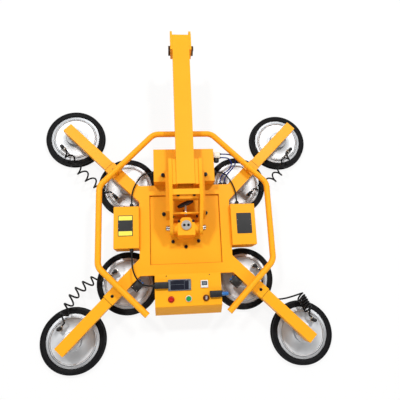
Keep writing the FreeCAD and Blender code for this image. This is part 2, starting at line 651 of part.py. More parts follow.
for corner in ("lower_left", "lower_right"):
    near = "%d * sleeve_half" % -HOSE_SIDES[corner]
    far = "%d * (sleeve_half + switch_depth)" % -HOSE_SIDES[corner]
    across = (near, far) if HOSE_SIDES[corner] < 0 else (far, near)
    switches.append(arm_block(
        corner + "_switch", corner, ("switch_along - switch_half", "switch_along + switch_half"),
        across, ("switch_low", "switch_high")))
group("vacuum_switches", switches)


# Yoke: foot, plate, hub block and tilt bosses, turning on the axle
yoke_blank = join("yoke_blank", [
    rod("yoke_foot", "yoke_foot_radius", ("0", "0", "yoke_low"), "yoke_lift"),
    block("yoke_base", ("-yoke_half_x", "yoke_half_x"), ("-yoke_half_y", "yoke_half_y"),
          ("yoke_plate_low", "yoke_plate_top")),
    plate("hub_block", "XY_Plane", [
        ("-hub_half", "-hub_low"),
        ("hub_half", "-hub_low"),
        ("hub_half", "hub_shoulder"),
        ("hub_nose_half", "hub_high"),
        ("-hub_nose_half", "hub_high"),
        ("-hub_half", "hub_shoulder"),
    ], "hub_top - yoke_plate_low", ("0", "0", "(hub_top + yoke_plate_low) / 2")),
    rod("tilt_bosses", "tilt_boss_radius", ("seat_gap - fork_gap_half", "tilt_y", "tilt_z"),
        "2 * (fork_gap_half - seat_gap)", AXES["X"]),
])
yoke_cutters = [
    rod("axle_bore", "axle_radius + run_play", ("0", "0", "yoke_low - overrun"),
        "hub_top - yoke_low + 2 * overrun"),
    rod("lock_hole", "lock_pin_radius + stem_play",
        ("0", "hub_high + overrun", "lock_height"), "lock_hole_depth + overrun", AXES["-Y"]),
]
for sign, axis in ((-1, "-X"), (1, "X")):
    yoke_cutters.append(rod("trunnion_hole" + axis, "trunnion_radius + hole_play",
                            ("%d * trunnion_root" % sign, "tilt_y", "tilt_z"),
                            "fork_gap_half", AXES[axis]))
cut("yoke", yoke_blank, yoke_cutters)
group("trunnion_bolts", [join("trunnion_bolt" + axis, [
    rod("trunnion_shank" + axis, "trunnion_radius",
        ("%d * trunnion_root" % sign, "tilt_y", "tilt_z"),
        "fork_outer + seat_gap - trunnion_root", AXES[axis]),
    rod("trunnion_head" + axis, "trunnion_head_radius",
        ("%d * (fork_outer + seat_gap)" % sign, "tilt_y", "tilt_z"),
        "trunnion_head", AXES[axis]),
]) for sign, axis in ((-1, "-X"), (1, "X"))])


# Boom: square tube welded between the plates of a fork that tilts on the trunnions
FORK_OUTLINE = [
    ("tilt_y - fork_eye_radius * eye_back_share", "tilt_z + fork_eye_radius * eye_flank_share"),
    ("fork_step", "boom_top"),
    ("fork_end", "boom_top"),
    ("fork_end", "boom_low - web_thick / 2"),
    ("fork_heel", "boom_low - web_thick / 2"),
    ("fork_toe", "tilt_z - fork_eye_radius * eye_flank_share"),
    ("tilt_y", "tilt_z - fork_eye_radius"),
]
CHEEK_OUTLINE = [
    ("cheek_start", "tilt_z"),
    ("fork_toe", "cheek_top"),
    ("cheek_end", "cheek_top"),
    ("cheek_end", "boom_low - cheek_drop"),
    ("cheek_heel", "boom_low - cheek_drop"),
    ("fork_toe", "tilt_z - cheek_drop"),
]
boom_pieces = [cut("boom_tube", block(
    "boom_outside", ("-boom_half", "boom_half"), ("boom_start", "boom_end"),
    ("boom_low", "boom_top")), [block(
        "boom_inside", ("boom_wall - boom_half", "boom_half - boom_wall"),
        ("boom_start - overrun", "boom_end + overrun"),
        ("boom_low + boom_wall", "boom_top - boom_wall"))])]
for sign, axis in ((-1, "-X"), (1, "X")):
    fork_x = "%d * (fork_gap_half + fork_plate / 2)" % sign
    cheek_x = "%d * (fork_outer + cheek / 2)" % sign
    packer = ("%d * boom_half" % sign, "%d * fork_gap_half" % sign)
    boom_pieces += [
        plate("fork_plate" + axis, "YZ_Plane", FORK_OUTLINE, "fork_plate", (fork_x, "0", "0")),
        rod("fork_eye" + axis, "fork_eye_radius", ("%d * fork_gap_half" % sign, "tilt_y", "tilt_z"),
            "fork_plate", AXES[axis]),
        plate("cheek_plate" + axis, "YZ_Plane", CHEEK_OUTLINE, "cheek", (cheek_x, "0", "0")),
        block("packer" + axis, packer if sign > 0 else packer[::-1], ("boom_start", "fork_end"),
              ("boom_low", "boom_top - packer_drop")),
    ]
fork_gap = ("-fork_gap_half", "fork_gap_half")
boom_pieces += [
    block("fork_web", fork_gap, ("web_start", "fork_end"), ("boom_low - web_thick", "boom_low")),
    block("fork_tie", fork_gap, ("tie_start", "tie_start + tie_width"),
          ("boom_top - tie_drop - tie_height", "boom_top - tie_drop")),
    block("lock_bar", fork_gap, ("lock_bar_y", "lock_bar_y + lock_bar"),
          ("lock_height - lock_bar_half", "lock_height + lock_bar_half")),
]
HEAD_BOLTS = ("boom_mid - head_bolt_pitch / 2", "boom_mid + head_bolt_pitch / 2")
boom_cutters = [
    rod("bush_bore", "bush_radius", ("-fork_outer - overrun", "tilt_y", "tilt_z"),
        "2 * (fork_outer + overrun)", AXES["X"]),
    rod("lock_bore", "lock_pin_radius + run_play", ("0", "lock_bar_y - overrun", "lock_height"),
        "lock_bar + 2 * overrun", AXES["Y"]),
]
for step, height in enumerate(HEAD_BOLTS):
    boom_cutters.append(rod("boom_bolt_hole_%d" % step, "head_bolt_radius + hole_play",
                            ("-boom_half - overrun", "head_bolt_y", height),
                            "2 * (boom_half + overrun)", AXES["X"]))
cut("boom", join("boom_weldment", boom_pieces), boom_cutters)
group("tilt_bushes", [cut(
    "tilt_bush" + axis,
    rod("bush_outside" + axis, "bush_radius", ("%d * fork_gap_half" % sign, "tilt_y", "tilt_z"),
        "fork_plate", AXES[axis]),
    [rod("bush_inside" + axis, "trunnion_radius + run_play",
         ("%d * (fork_gap_half - overrun)" % sign, "tilt_y", "tilt_z"),
         "fork_plate + 2 * overrun", AXES[axis])])
    for sign, axis in ((-1, "-X"), (1, "X"))])


# Lock plunger: pin through the fork's bar, with an oval grip on its outer end
grip = turned("lock_grip", [
    ("0", "-grip_half"),
    ("grip_end_radius", "-grip_half"),
    ("grip_radius", "-grip_barrel_half"),
    ("grip_radius", "grip_barrel_half"),
    ("grip_end_radius", "grip_half"),
    ("0", "grip_half"),
], ("0", "grip_y", "lock_height"))
place(grip, ("0", "grip_y", "lock_height"),
      FreeCAD.Rotation(UP, num("grip_heading")).multiply(
          FreeCAD.Rotation(FreeCAD.Vector(0, 1, 0), num("grip_turn"))))
join("lock_plunger", [
    rod("lock_pin", "lock_pin_radius", ("0", "lock_tip_y", "lock_height"), "grip_y - lock_tip_y",
        AXES["Y"]),
    grip,
])


# Lifting head: two ears joined by an end plate, bolted to the boom and bored for a shackle pin
EAR_OUTLINE = [
    ("head_root", "boom_low"),
    ("head_root", "boom_top"),
    ("boom_end + head_web", "boom_top"),
    ("eye_y + eye_lobe * eye_back_share", "boom_mid + eye_lobe * eye_flank_share"),
    ("eye_y + eye_lobe * eye_back_share", "boom_mid - eye_lobe * eye_flank_share"),
    ("boom_end + head_web", "boom_low"),
]
head_pieces = [
    block("head_end", ("-boom_half - head_fit", "boom_half + head_fit"),
          ("boom_end", "boom_end + head_web"), ("boom_low", "boom_top")),
]
for sign, axis in ((-1, "-X"), (1, "X")):
    ear_x = "%d * (boom_half + head_fit + head_plate / 2)" % sign
    head_pieces.append(plate("ear" + axis, "YZ_Plane", EAR_OUTLINE, "head_plate",
                             (ear_x, "0", "0")))
    head_pieces.append(rod("ear_lobe" + axis, "eye_lobe",
                           ("%d * (boom_half + head_fit)" % sign, "eye_y", "boom_mid"),
                           "head_plate", AXES[axis]))
head_side = "boom_half + head_fit + head_plate"
head_cutters = [rod("eye_bore", "eye_radius", ("-(%s) - overrun" % head_side, "eye_y", "boom_mid"),
                    "2 * (%s + overrun)" % head_side, AXES["X"])]
for step, height in enumerate(HEAD_BOLTS):
    head_cutters.append(rod("head_bolt_hole_%d" % step, "head_bolt_radius + hole_play",
                            ("-(%s) - overrun" % head_side, "head_bolt_y", height),
                            "2 * (%s + overrun)" % head_side, AXES["X"]))
cut("head_clevis", join("head_blank", head_pieces), head_cutters)
group("head_bolts", [join("head_bolt_%d" % step, [
    rod("head_bolt_shank_%d" % step, "head_bolt_radius",
        ("-(%s)" % head_side, "head_bolt_y", height), "2 * (%s)" % head_side, AXES["X"]),
    rod("head_bolt_cap_%d" % step, "head_nut_radius",
        ("-(%s)" % head_side, "head_bolt_y", height), "head_nut", AXES["-X"]),
    rod("head_bolt_nut_%d" % step, "head_nut_radius", (head_side, "head_bolt_y", height),
        "head_nut", AXES["X"]),
]) for step, height in enumerate(HEAD_BOLTS)])


# Bent round stock: the handle rail, the cables and the air lines
def from_axis(point):
    """World place of a point given from the turntable axis."""
    return FreeCAD.Vector(num("axis_x"), num("axis_y"), 0) + FreeCAD.Vector(*point)


def bend_edges(points, bend=None):
    """Straight runs with tangent arcs at the corners, and the arcs' radii."""
    edges = []
    radii = []
    last = points[0]
    for before, corner, after in zip(points, points[1:], points[2:]):
        into = (corner - before).normalize()
        out = (after - corner).normalize()
        half_turn = into.getAngle(out) / 2
        shorter = min((corner - before).Length, (after - corner).Length)
        setback_share = 0.45
        radius = bend or setback_share * shorter / math.tan(half_turn)
        setback = radius * math.tan(half_turn)
        start = corner - into * setback
        end = corner + out * setback
        inward = (out - into).normalize()
        middle = corner + inward * (radius / math.cos(half_turn) - radius)
        edges.append(Part.makeLine(last, start))
        edges.append(Part.Arc(start, middle, end).toShape())
        radii.append(radius)
        last = end
    edges.append(Part.makeLine(last, points[-1]))
    return edges, radii


def sweep(edges, radius, sides=None):
    """Solid swept along joined edges, round or with a number of flat sides."""
    first = edges[0]
    start = first.valueAt(first.FirstParameter)
    ahead = first.tangentAt(first.FirstParameter)
    section = Part.makeCircle(radius, start, ahead)
    if sides:
        corners = section.discretize(int(sides) + 1)
        section = Part.makePolygon(corners[:-1] + corners[:1])
    shell = Part.BRepOffsetAPI.MakePipeShell(Part.Wire(edges))
    shell.add(Part.Wire(section.Edges))
    shell.build()
    shell.makeSolid()
    return shell.shape()


def feature(label, shape):
    piece = doc.addObject("Part::Feature", label)
    piece.Shape = shape
    return piece


rail_points = []
for sign in (-1, 1):
    half = [
        (num("rail_foot_half"), -num("rail_foot")),
        (num("rail_side"), -num("rail_low")),
        (num("rail_side"), num("rail_upper")),
        (num("rail_bar_half"), num("rail_top")),
    ]
    half = [from_axis((sign * x, y, num("rail_height"))) for x, y in half]
    rail_points += half if sign < 0 else half[::-1]
rail_edges, rail_radii = bend_edges(rail_points, num("rail_bend"))
rail = feature("rail_bar", sweep(rail_edges, num("rail_radius")))
posts = [rod(corner + "_post", "post_radius",
             on_arm(corner, "upper_post" if "upper" in corner else "lower_post", "0", "sleeve_top"),
             "rail_height - sleeve_top") for corner in SIDES]
join("handle_rail", [rail] + posts)


def section_area(radius, sides):
    return sides / 2 * radius ** 2 * math.sin(2 * math.pi / sides)


# Points of each free route: shares of the way along Y and Z, and how far out, as a share of the span.
SIDE_ROUTE_SHARES = ((0.235, 0, 0.123), (0.517, 0, 0.218), (0.799, 0, 0.233), (1, 0, 0.189))
PANEL_ROUTE_SHARES = ((0.232, 0, 0.109), (0.49, 0.258, 0.21), (0.748, 0.652, 0.248),
                      (1, 1, 0.199))
OUTER_ROUTE_SHARES = ((0, 0, 0.196), (0.031, 0.057, 0.408), (0.2, 0.208, 0.545),
                      (0.431, 0.472, 0.447), (0.615, 0.774, 0.231), (0.815, 1, 0.034))
INNER_ROUTE_SHARES = ((0, 0, 0.186), (0.035, 0.071, 0.382), (0.224, 0.238, 0.498),
                      (0.448, 0.5, 0.424), (0.586, 0.762, 0.213), (0.776, 1, 0.008))


def cable(label, radius, start, shares, end):
    """Free cable or air line between two fixed ends, by a route given in shares."""
    start = from_axis(start)
    end = from_axis(end)
    span = end - start
    out = math.copysign(span.Length, start.x)
    points = [start]
    for along, rise, aside in shares:
        points.append(start + FreeCAD.Vector(span.x * along + out * aside, span.y * along,
                                             span.z * rise))
    points.append(end)
    edges, radii = bend_edges(points)
    piece = feature(label, sweep(edges, radius, num("cable_sides")))
    length = sum(edge.Length for edge in edges)
    share = piece.Shape.Volume / (section_area(radius, num("cable_sides")) * length)
    print("%s: length %.0f mm, bend radii %s mm, volume share %.3f"
          % (label, length, [round(radius) for radius in radii], share))


gland_end = num("box_high") + num("gland_length")
gland_foot = -num("box_low") - num("gland_length")
entry_x = num("pump_half") + num("gland_length")
entry_y = num("gland_entry_y")
gland_z = num("gland_height")
plug_z = num("pump_front") + num("plug_thick") / 2
relief_end = -num("control_half") - num("relief_length")
filter_x = num("pump_half") + num("filter_head_width")
line_end_y = num("frame_half_y") + num("gland_length")
line_end_z = num("sleeve_top") - num("line_gland_drop")
line_end_x = num("line_gland_x")
cable("battery_pump_cable", num("cable_radius"), (-num("gland_x"), gland_end, gland_z),
      SIDE_ROUTE_SHARES, (-entry_x, entry_y, gland_z))
cable("charger_pump_cable", num("cable_radius"), (num("gland_x"), gland_end, gland_z),
      SIDE_ROUTE_SHARES, (entry_x, entry_y, gland_z))
cable("battery_panel_cable", num("cable_radius"), (-num("gland_x"), gland_foot, gland_z),
      PANEL_ROUTE_SHARES, (relief_end, num("power_plug_y"), plug_z))
cable("air_line_outer", num("air_line_radius"),
      (filter_x, num("filter_y") + num("line_port_y"), num("filter_height") + num("line_port_z")),
      OUTER_ROUTE_SHARES, (line_end_x, line_end_y, line_end_z))
cable("air_line_inner", num("air_line_radius"),
      (filter_x, num("filter_y") - num("line_port_y"), num("filter_height") - num("line_port_drop")),
      INNER_ROUTE_SHARES, (line_end_x - num("line_gland_pitch"), line_end_y, line_end_z))


# Curly air hoses between the outer and the inner cups
def biarc(start, ahead, end, leaving):
    """Two arcs from a point and heading to another point and heading."""
    chord = end - start
    both = ahead + leaving
    slack = 2 * (1 - ahead.dot(leaving))
    reach = chord.dot(both)
    if slack < 1e-9:
        arm = chord.dot(chord) / (2 * reach)
    else:
        arm = (math.sqrt(reach ** 2 + slack * chord.dot(chord)) - reach) / slack
    joint = (start + end + (ahead - leaving) * arm) * 0.5
    edges = []
    for near, far, heading in ((start, joint, ahead), (end, joint, leaving * -1)):
        line = far - near
        along = FreeCAD.Vector(line).normalize()
        bulge = heading - along * heading.dot(along)
        sagitta = line.Length / 2 * math.tan(heading.getAngle(line) / 2)
        middle = (near + far) * 0.5 + bulge.normalize() * sagitta
        ends = (near, middle, far) if near == start else (far, middle, near)
        edges.append(Part.Arc(*ends).toShape())
    return edges


def self_gap(edges, radius):
    """Least gap between stretches of one tube that aren't neighbours, measured on points."""
    points = []
    travelled = 0
    for edge in edges:
        spots = edge.discretize(9)
        points += [(travelled + edge.Length * step / 8, spot) for step, spot in enumerate(spots)]
        travelled += edge.Length
    apart = 4 * math.pi * radius
    gaps = [(one.distanceToPoint(two) - 2 * radius)
            for step, (place_one, one) in enumerate(points)
            for place_two, two in points[step + 1:] if place_two - place_one > apart]
    return min(gaps)


# Shares of each hose's run where its curls start and end, and of the run by which it bows out.
# The lower right one is bunched at its outer cup, and its tail runs back under the arm: shares of
# the run and of the nipple's distance from the arm's middle.
CURL_SHARES = {"upper_left": (0.10, 0.90), "upper_right": (0.10, 0.90),
               "lower_left": (0.10, 0.90), "lower_right": (0.10, 0.30)}
BOW_SHARES = {"upper_left": 0.08, "upper_right": 0.13, "lower_left": 0.19, "lower_right": 0.14}
TAIL_SHARES = {"lower_right": ((0.41, 0.95), (0.48, 0.56), (0.56, 0.24), (0.66, 0.14),
                               (0.76, 0.24), (0.85, 0.58), (0.92, 0.90))}


def curly_hose(corner):
    curls = int(num(corner + "_curl_count"))
    first_share, last_share = CURL_SHARES[corner]
    radius = num("hose_radius")
    curl = num("curl_radius")
    turn = heading_turn(corner)
    origin = from_axis((SIDES[corner] * num("arm_offset"), 0, 0))
    across = HOSE_SIDES[corner] * num("nipple_across")
    outward = turn.multVec(FreeCAD.Vector(0, HOSE_SIDES[corner], 0))
    inward = turn.multVec(FreeCAD.Vector(-1, 0, 0))
    height = num("barb_height")
    far = num("cup_set_" + corner) - num("barb_length")
    near = num("cup_inner") + num("barb_length")
    start = origin + turn.multVec(FreeCAD.Vector(far, across, height))
    end = origin + turn.multVec(FreeCAD.Vector(near, across, height))
    run = far - near
    lead = 2 * radius

    def centre(share):
        bow = run * BOW_SHARES[corner] * 4 * share * (1 - share)
        return start + inward * (run * share) + outward * bow

    def drift(share):
        return inward * run + outward * (run * BOW_SHARES[corner] * 4 * (1 - 2 * share))

    knots = [(start, inward), (start + inward * lead, inward)]
    for step in range(2 * curls + 1):
        share = first_share + (last_share - first_share) * step / (2 * curls)
        swing = math.pi * step
        spin = 2 * math.pi * curls / (last_share - first_share)
        spot = centre(share) + outward * (curl * math.cos(swing)) + UP * (curl * math.sin(swing))
        around = (UP * math.cos(swing) - outward * math.sin(swing)) * (curl * spin)
        knots.append((spot, (drift(share) + around).normalize()))
    tail = [start + inward * (run * along_share) - outward * (abs(across) * (1 - across_share))
            for along_share, across_share in TAIL_SHARES.get(corner, ())]
    for before, spot, after in zip([knots[-1][0]] + tail, tail, tail[1:] + [end - inward * lead]):
        knots.append((spot, (after - before).normalize()))
    knots += [(end - inward * lead, inward), (end, inward)]
    edges = [Part.makeLine(knots[0][0], knots[1][0])]
    for (here, heading), (there, leaving) in zip(knots[1:-2], knots[2:-1]):
        edges += biarc(here, heading, there, leaving)
    edges.append(Part.makeLine(knots[-2][0], knots[-1][0]))
    piece = feature("hose_" + corner, sweep(edges, radius, num("hose_sides")))
    length = sum(edge.Length for edge in edges)
    share = piece.Shape.Volume / (section_area(radius, num("hose_sides")) * length)
    tightest = min(edge.Curve.Radius for edge in edges[1:-1])
    print("%s: %d curls, length %.0f mm, tightest arc %.1f mm, self gap %.2f mm, volume share %.3f"
          % (piece.Label, curls, length, tightest, self_gap(edges, radius), share))


for corner in SIDES:
    curly_hose(corner)

# Nodes, each written to its own file
NODES = [
    "main_frame", "handle_rail", "arm_lock_screws", "turntable_axle", "axle_cap", "slew_bolts",
    "pump_box", "vacuum_pump", "battery_box", "battery", "charger_box", "panel_bolts",
    "control_box", "display", "gauge", "button_bezels", "red_button", "green_button",
    "selector_knob", "power_plug", "air_plug", "cable_glands", "vacuum_filter",
    "vacuum_switches", "yoke", "trunnion_bolts", "boom", "tilt_bushes", "lock_plunger",
    "head_clevis", "head_bolts", "battery_pump_cable", "charger_pump_cable",
    "battery_panel_cable", "air_line_outer", "air_line_inner",
]
for corner in SIDES:
    NODES += ["inner_%s_ring" % corner, "inner_%s_disc" % corner, "outer_%s_ring" % corner,
              "outer_%s_disc" % corner, "arm_" + corner, "hose_" + corner]

doc.recompute()
for piece in doc.Objects:
    if "Invalid" in piece.State or "Error" in piece.State:
        raise RuntimeError("%s did not build: %s" % (piece.Label, piece.State))
os.makedirs("parts", exist_ok=True)
for node in NODES:
    shape = doc.getObject(node).Shape
    if shape.isNull() or not shape.isValid() or not shape.Solids:
        raise RuntimeError("%s has no valid solid" % node)
for node in NODES:
    doc.getObject(node).Shape.exportStep("parts/%s.step" % node)
print("%d nodes written" % len(NODES))
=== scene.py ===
import math
import bmesh
import bpy
from mathutils import Matrix, Vector


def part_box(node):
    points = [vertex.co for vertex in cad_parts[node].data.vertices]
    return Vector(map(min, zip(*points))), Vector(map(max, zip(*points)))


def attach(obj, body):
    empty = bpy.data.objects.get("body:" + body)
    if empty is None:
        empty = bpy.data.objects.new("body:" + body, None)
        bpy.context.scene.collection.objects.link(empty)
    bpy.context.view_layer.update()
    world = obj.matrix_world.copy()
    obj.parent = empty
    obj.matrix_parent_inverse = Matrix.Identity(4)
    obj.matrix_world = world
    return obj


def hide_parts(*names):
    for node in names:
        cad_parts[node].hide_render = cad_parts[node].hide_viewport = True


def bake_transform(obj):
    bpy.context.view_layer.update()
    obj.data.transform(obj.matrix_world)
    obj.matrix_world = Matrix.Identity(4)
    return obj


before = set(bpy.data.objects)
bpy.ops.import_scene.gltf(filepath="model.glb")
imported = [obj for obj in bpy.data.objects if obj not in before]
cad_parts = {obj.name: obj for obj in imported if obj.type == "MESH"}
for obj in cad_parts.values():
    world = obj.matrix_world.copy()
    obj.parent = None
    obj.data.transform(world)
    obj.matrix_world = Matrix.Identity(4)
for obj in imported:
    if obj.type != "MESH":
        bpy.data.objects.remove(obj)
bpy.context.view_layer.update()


# Viewpoint: looking down on the lifter as it lies on its cups, boom away from the viewer.
# The camera stands over the control box, tipped a little towards the lifting head.
EYE_PLACE = (-0.0839, -0.4394, 1.9024)
EYE_ANGLES = (13.73, -4.51, -2.55)


def placed(name, data):
    """New object in the scene that holds a camera, lamp, mesh or curve."""
    piece = bpy.data.objects.new(name, data)
    bpy.context.collection.objects.link(piece)
    return piece


camera = placed("viewpoint", bpy.data.cameras.new("viewpoint"))
camera.data.sensor_width = 36
camera.data.lens = 34.11
camera.location = EYE_PLACE
camera.rotation_euler = [math.radians(angle) for angle in EYE_ANGLES]
bpy.context.scene.camera = camera
bpy.context.scene.view_settings.view_transform = "Standard"


# Studio: a pale floor under the cups, two soft lamps high overhead and weaker ones round it.
# The floor shows nearly white to the camera and to polished metal, and keeps a faint shadow.
FLOOR_REACH = 9
FLOOR_DROP = 0.0006
PAPER_TONES = (0.86, 0.9)
GLOW_SHARE = 0.86
WHITE = (1, 1, 1, 1)
AIR_COLOUR = (0.86, 0.85, 0.84, 1)
MIDDLE = (0, 0, 0)
DAYLIGHT = (1, 0.99, 0.97)
SKYLIGHT = (0.88, 0.95, 1)
WARM_LIGHT = (1, 0.98, 0.95)
LAMPS = (
    ("left_lamp", (-2.2, 2.6, 6), MIDDLE, 0.6, 0.6, 196, DAYLIGHT),
    ("right_lamp", (2.2, 2.6, 6), MIDDLE, 0.6, 0.6, 196, DAYLIGHT),
    ("far_panel", (0, 2.9, 2.4), (0, 0.2, 0), 4.4, 2.4, 26, SKYLIGHT),
    ("left_fill", (-2.2, -0.4, 2.2), (0, -0.1, 0), 1.6, 2.2, 12, DAYLIGHT),
    ("right_fill", (2.2, -0.4, 2.2), (0, -0.1, 0), 1.6, 2.2, 10, DAYLIGHT),
    ("near_fill", (0.2, -2.4, 1.9), (0, -0.2, 0), 2.4, 1.2, 19, WARM_LIGHT),
)


def add(tree, kind, **values):
    """Node with some of its inputs and settings filled in."""
    node = tree.nodes.new(kind)
    for label, value in values.items():
        if label in node.inputs:
            node.inputs[label].default_value = value
        else:
            setattr(node, label, value)
    return node


def wire(tree, source, output, target, entry):
    """Links an output of one node to an input of another."""
    tree.links.new(source.outputs[output], target.inputs[entry])


def softbox(name, place, aim, width, length, watts, colour):
    """Rectangular lamp that faces a point."""
    lamp = bpy.data.lights.new(name, "AREA")
    lamp.shape = "RECTANGLE"
    lamp.size = width
    lamp.size_y = length
    lamp.energy = watts
    lamp.color = colour
    stand = placed(name, lamp)
    stand.location = place
    heading = Vector(aim) - Vector(place)
    stand.rotation_euler = heading.to_track_quat("-Z", "Y").to_euler()


shape = bmesh.new()
bmesh.ops.create_grid(shape, x_segments=1, y_segments=1, size=FLOOR_REACH)
floor_mesh = bpy.data.meshes.new("studio_floor")
shape.to_mesh(floor_mesh)
shape.free()
floor = placed("studio_floor", floor_mesh)
floor.location.z = -FLOOR_DROP
paper = bpy.data.materials.new("studio_paper")
paper.use_nodes = True
tree = paper.node_tree
tree.nodes.clear()
grain = add(tree, "ShaderNodeTexNoise", Scale=3)
tone = add(tree, "ShaderNodeValToRGB")
for element, shade in zip(tone.color_ramp.elements, PAPER_TONES):
    element.color = (shade, shade, shade, 1)
matt = add(tree, "ShaderNodeBsdfDiffuse")
glow = add(tree, "ShaderNodeEmission", Color=WHITE)
path = add(tree, "ShaderNodeLightPath")
seen = add(tree, "ShaderNodeMath", operation="MAXIMUM")
share = add(tree, "ShaderNodeMath", operation="MULTIPLY")
share.inputs[1].default_value = GLOW_SHARE
mix = add(tree, "ShaderNodeMixShader")
out = add(tree, "ShaderNodeOutputMaterial")
wire(tree, grain, "Fac", tone, "Fac")
wire(tree, tone, "Color", matt, "Color")
wire(tree, path, "Is Camera Ray", seen, 0)
wire(tree, path, "Is Glossy Ray", seen, 1)
wire(tree, seen, 0, share, 0)
wire(tree, share, 0, mix, "Fac")
wire(tree, matt, 0, mix, 1)
wire(tree, glow, 0, mix, 2)
wire(tree, mix, 0, out, "Surface")
floor_mesh.materials.append(paper)

world = bpy.data.worlds.new("studio_air")
world.use_nodes = True
tree = world.node_tree
air = tree.nodes["Background"]
air.inputs["Color"].default_value = AIR_COLOUR
air.inputs["Strength"].default_value = 0.22
backdrop = add(tree, "ShaderNodeBackground", Color=WHITE)
out = tree.nodes["World Output"]
path = add(tree, "ShaderNodeLightPath")
mix = add(tree, "ShaderNodeMixShader")
wire(tree, path, "Is Camera Ray", mix, "Fac")
wire(tree, air, 0, mix, 1)
wire(tree, backdrop, 0, mix, 2)
wire(tree, mix, 0, out, "Surface")
bpy.context.scene.world = world
for lamp in LAMPS:
    softbox(*lamp)


# Free cables and air lines: black leads from the side boxes, blue lines from the filter.
# Round flexible leads that hang between glands; each follows its own smooth route, and a nylon
# tie is pulled tight round the battery's lead to the pump.
AXIS_Y = -148.71
CABLE_DIAMETER = 0.007
AIR_DIAMETER = 0.006
TIE_SHARE = 0.62
TIE_BITE = 0.2
TIE_THICK = 1.3
TIE_HALF = 2
TIE_BREAK = 0.3
TIE_RIM = 0.6
TIE_HEAD = (0.0026, 0.004, 0.003)
TIE_HEAD_ROUND = 0.0006
CREASE = math.radians(38)
MERGE_GAP = 1e-6
TURN_ROWS = 10
UPRIGHT_SHARE = 0.9
BUMP_DEPTH = 0.0006
MIX_FIRST = 6
MIX_SECOND = 7
MIX_RESULT = 2


def new_group(name, inputs, outputs):
    """Empty shader node group with named sockets."""
    group = bpy.data.node_groups.new(name, "ShaderNodeTree")
    for label, kind, value in inputs:
        group.interface.new_socket(label, in_out="INPUT", socket_type=kind).default_value = value
    for label, kind in outputs:
        group.interface.new_socket(label, in_out="OUTPUT", socket_type=kind)
    return group, group.nodes.new("NodeGroupInput"), group.nodes.new("NodeGroupOutput")


surface_tone, ins, outs = new_group("surface_tone", [
    ("Base", "NodeSocketColor", (0.8, 0.8, 0.8, 1)), ("Worn", "NodeSocketColor", (0.7, 0.7, 0.7, 1)),
    ("Scale", "NodeSocketFloat", 6.0), ("Spread", "NodeSocketFloat", 0.5),
], [("Color", "NodeSocketColor"), ("Mask", "NodeSocketFloat")])
spot = add(surface_tone, "ShaderNodeTexCoord")
cloud = add(surface_tone, "ShaderNodeTexNoise", Detail=6.0, Roughness=0.62)
level = add(surface_tone, "ShaderNodeMapRange", **{"From Min": 0.35, "From Max": 0.75})
strength = add(surface_tone, "ShaderNodeMath", operation="MULTIPLY")
blend = add(surface_tone, "ShaderNodeMix", data_type="RGBA")
wire(surface_tone, spot, "Object", cloud, "Vector")
wire(surface_tone, ins, "Scale", cloud, "Scale")
wire(surface_tone, cloud, "Fac", level, "Value")
wire(surface_tone, level, "Result", strength, 0)
wire(surface_tone, ins, "Spread", strength, 1)
wire(surface_tone, strength, 0, blend, "Factor")
wire(surface_tone, ins, "Base", blend, MIX_FIRST)
wire(surface_tone, ins, "Worn", blend, MIX_SECOND)
wire(surface_tone, blend, MIX_RESULT, outs, "Color")
wire(surface_tone, strength, 0, outs, "Mask")

fine_grain, ins, outs = new_group("fine_grain", [
    ("Scale", "NodeSocketFloat", 400.0), ("Low", "NodeSocketFloat", 0.3),
    ("High", "NodeSocketFloat", 0.45),
], [("Height", "NodeSocketFloat"), ("Roughness", "NodeSocketFloat")])
spot = add(fine_grain, "ShaderNodeTexCoord")
peel = add(fine_grain, "ShaderNodeTexNoise", Detail=3.0)
smear = add(fine_grain, "ShaderNodeTexNoise", Scale=14.0, Detail=5.0)
level = add(fine_grain, "ShaderNodeMapRange")
wire(fine_grain, spot, "Object", peel, "Vector")
wire(fine_grain, ins, "Scale", peel, "Scale")
wire(fine_grain, spot, "Object", smear, "Vector")
wire(fine_grain, smear, "Fac", level, "Value")
wire(fine_grain, ins, "Low", level, "To Min")
wire(fine_grain, ins, "High", level, "To Max")
wire(fine_grain, peel, "Fac", outs, "Height")
wire(fine_grain, level, "Result", outs, "Roughness")


def finish(name, base, worn, scale=60, spread=0.5, grain=900, low=0.3, high=0.45,
           bump=0.08, metallic=0.0, specular=0.5):
    """Material with cloudy colour, uneven gloss and a fine bump."""
    material = bpy.data.materials.new(name)
    material.use_nodes = True
    tree = material.node_tree
    shader = tree.nodes["Principled BSDF"]
    shader.inputs["Metallic"].default_value = metallic
    shader.inputs["Specular IOR Level"].default_value = specular
    tone = add(tree, "ShaderNodeGroup", node_tree=surface_tone, Base=(*base, 1), Worn=(*worn, 1),
               Scale=scale, Spread=spread)
    peel = add(tree, "ShaderNodeGroup", node_tree=fine_grain, Scale=grain, Low=low, High=high)
    lift = add(tree, "ShaderNodeBump", Strength=bump, Distance=BUMP_DEPTH)
    wire(tree, tone, "Color", shader, "Base Color")
    wire(tree, peel, "Roughness", shader, "Roughness")
    wire(tree, peel, "Height", lift, "Height")
    wire(tree, lift, "Normal", shader, "Normal")
    return material


def at(x, y, z):
    """Place given in millimetres from the turntable axis."""
    return Vector((x, y + AXIS_Y, z)) / 1000


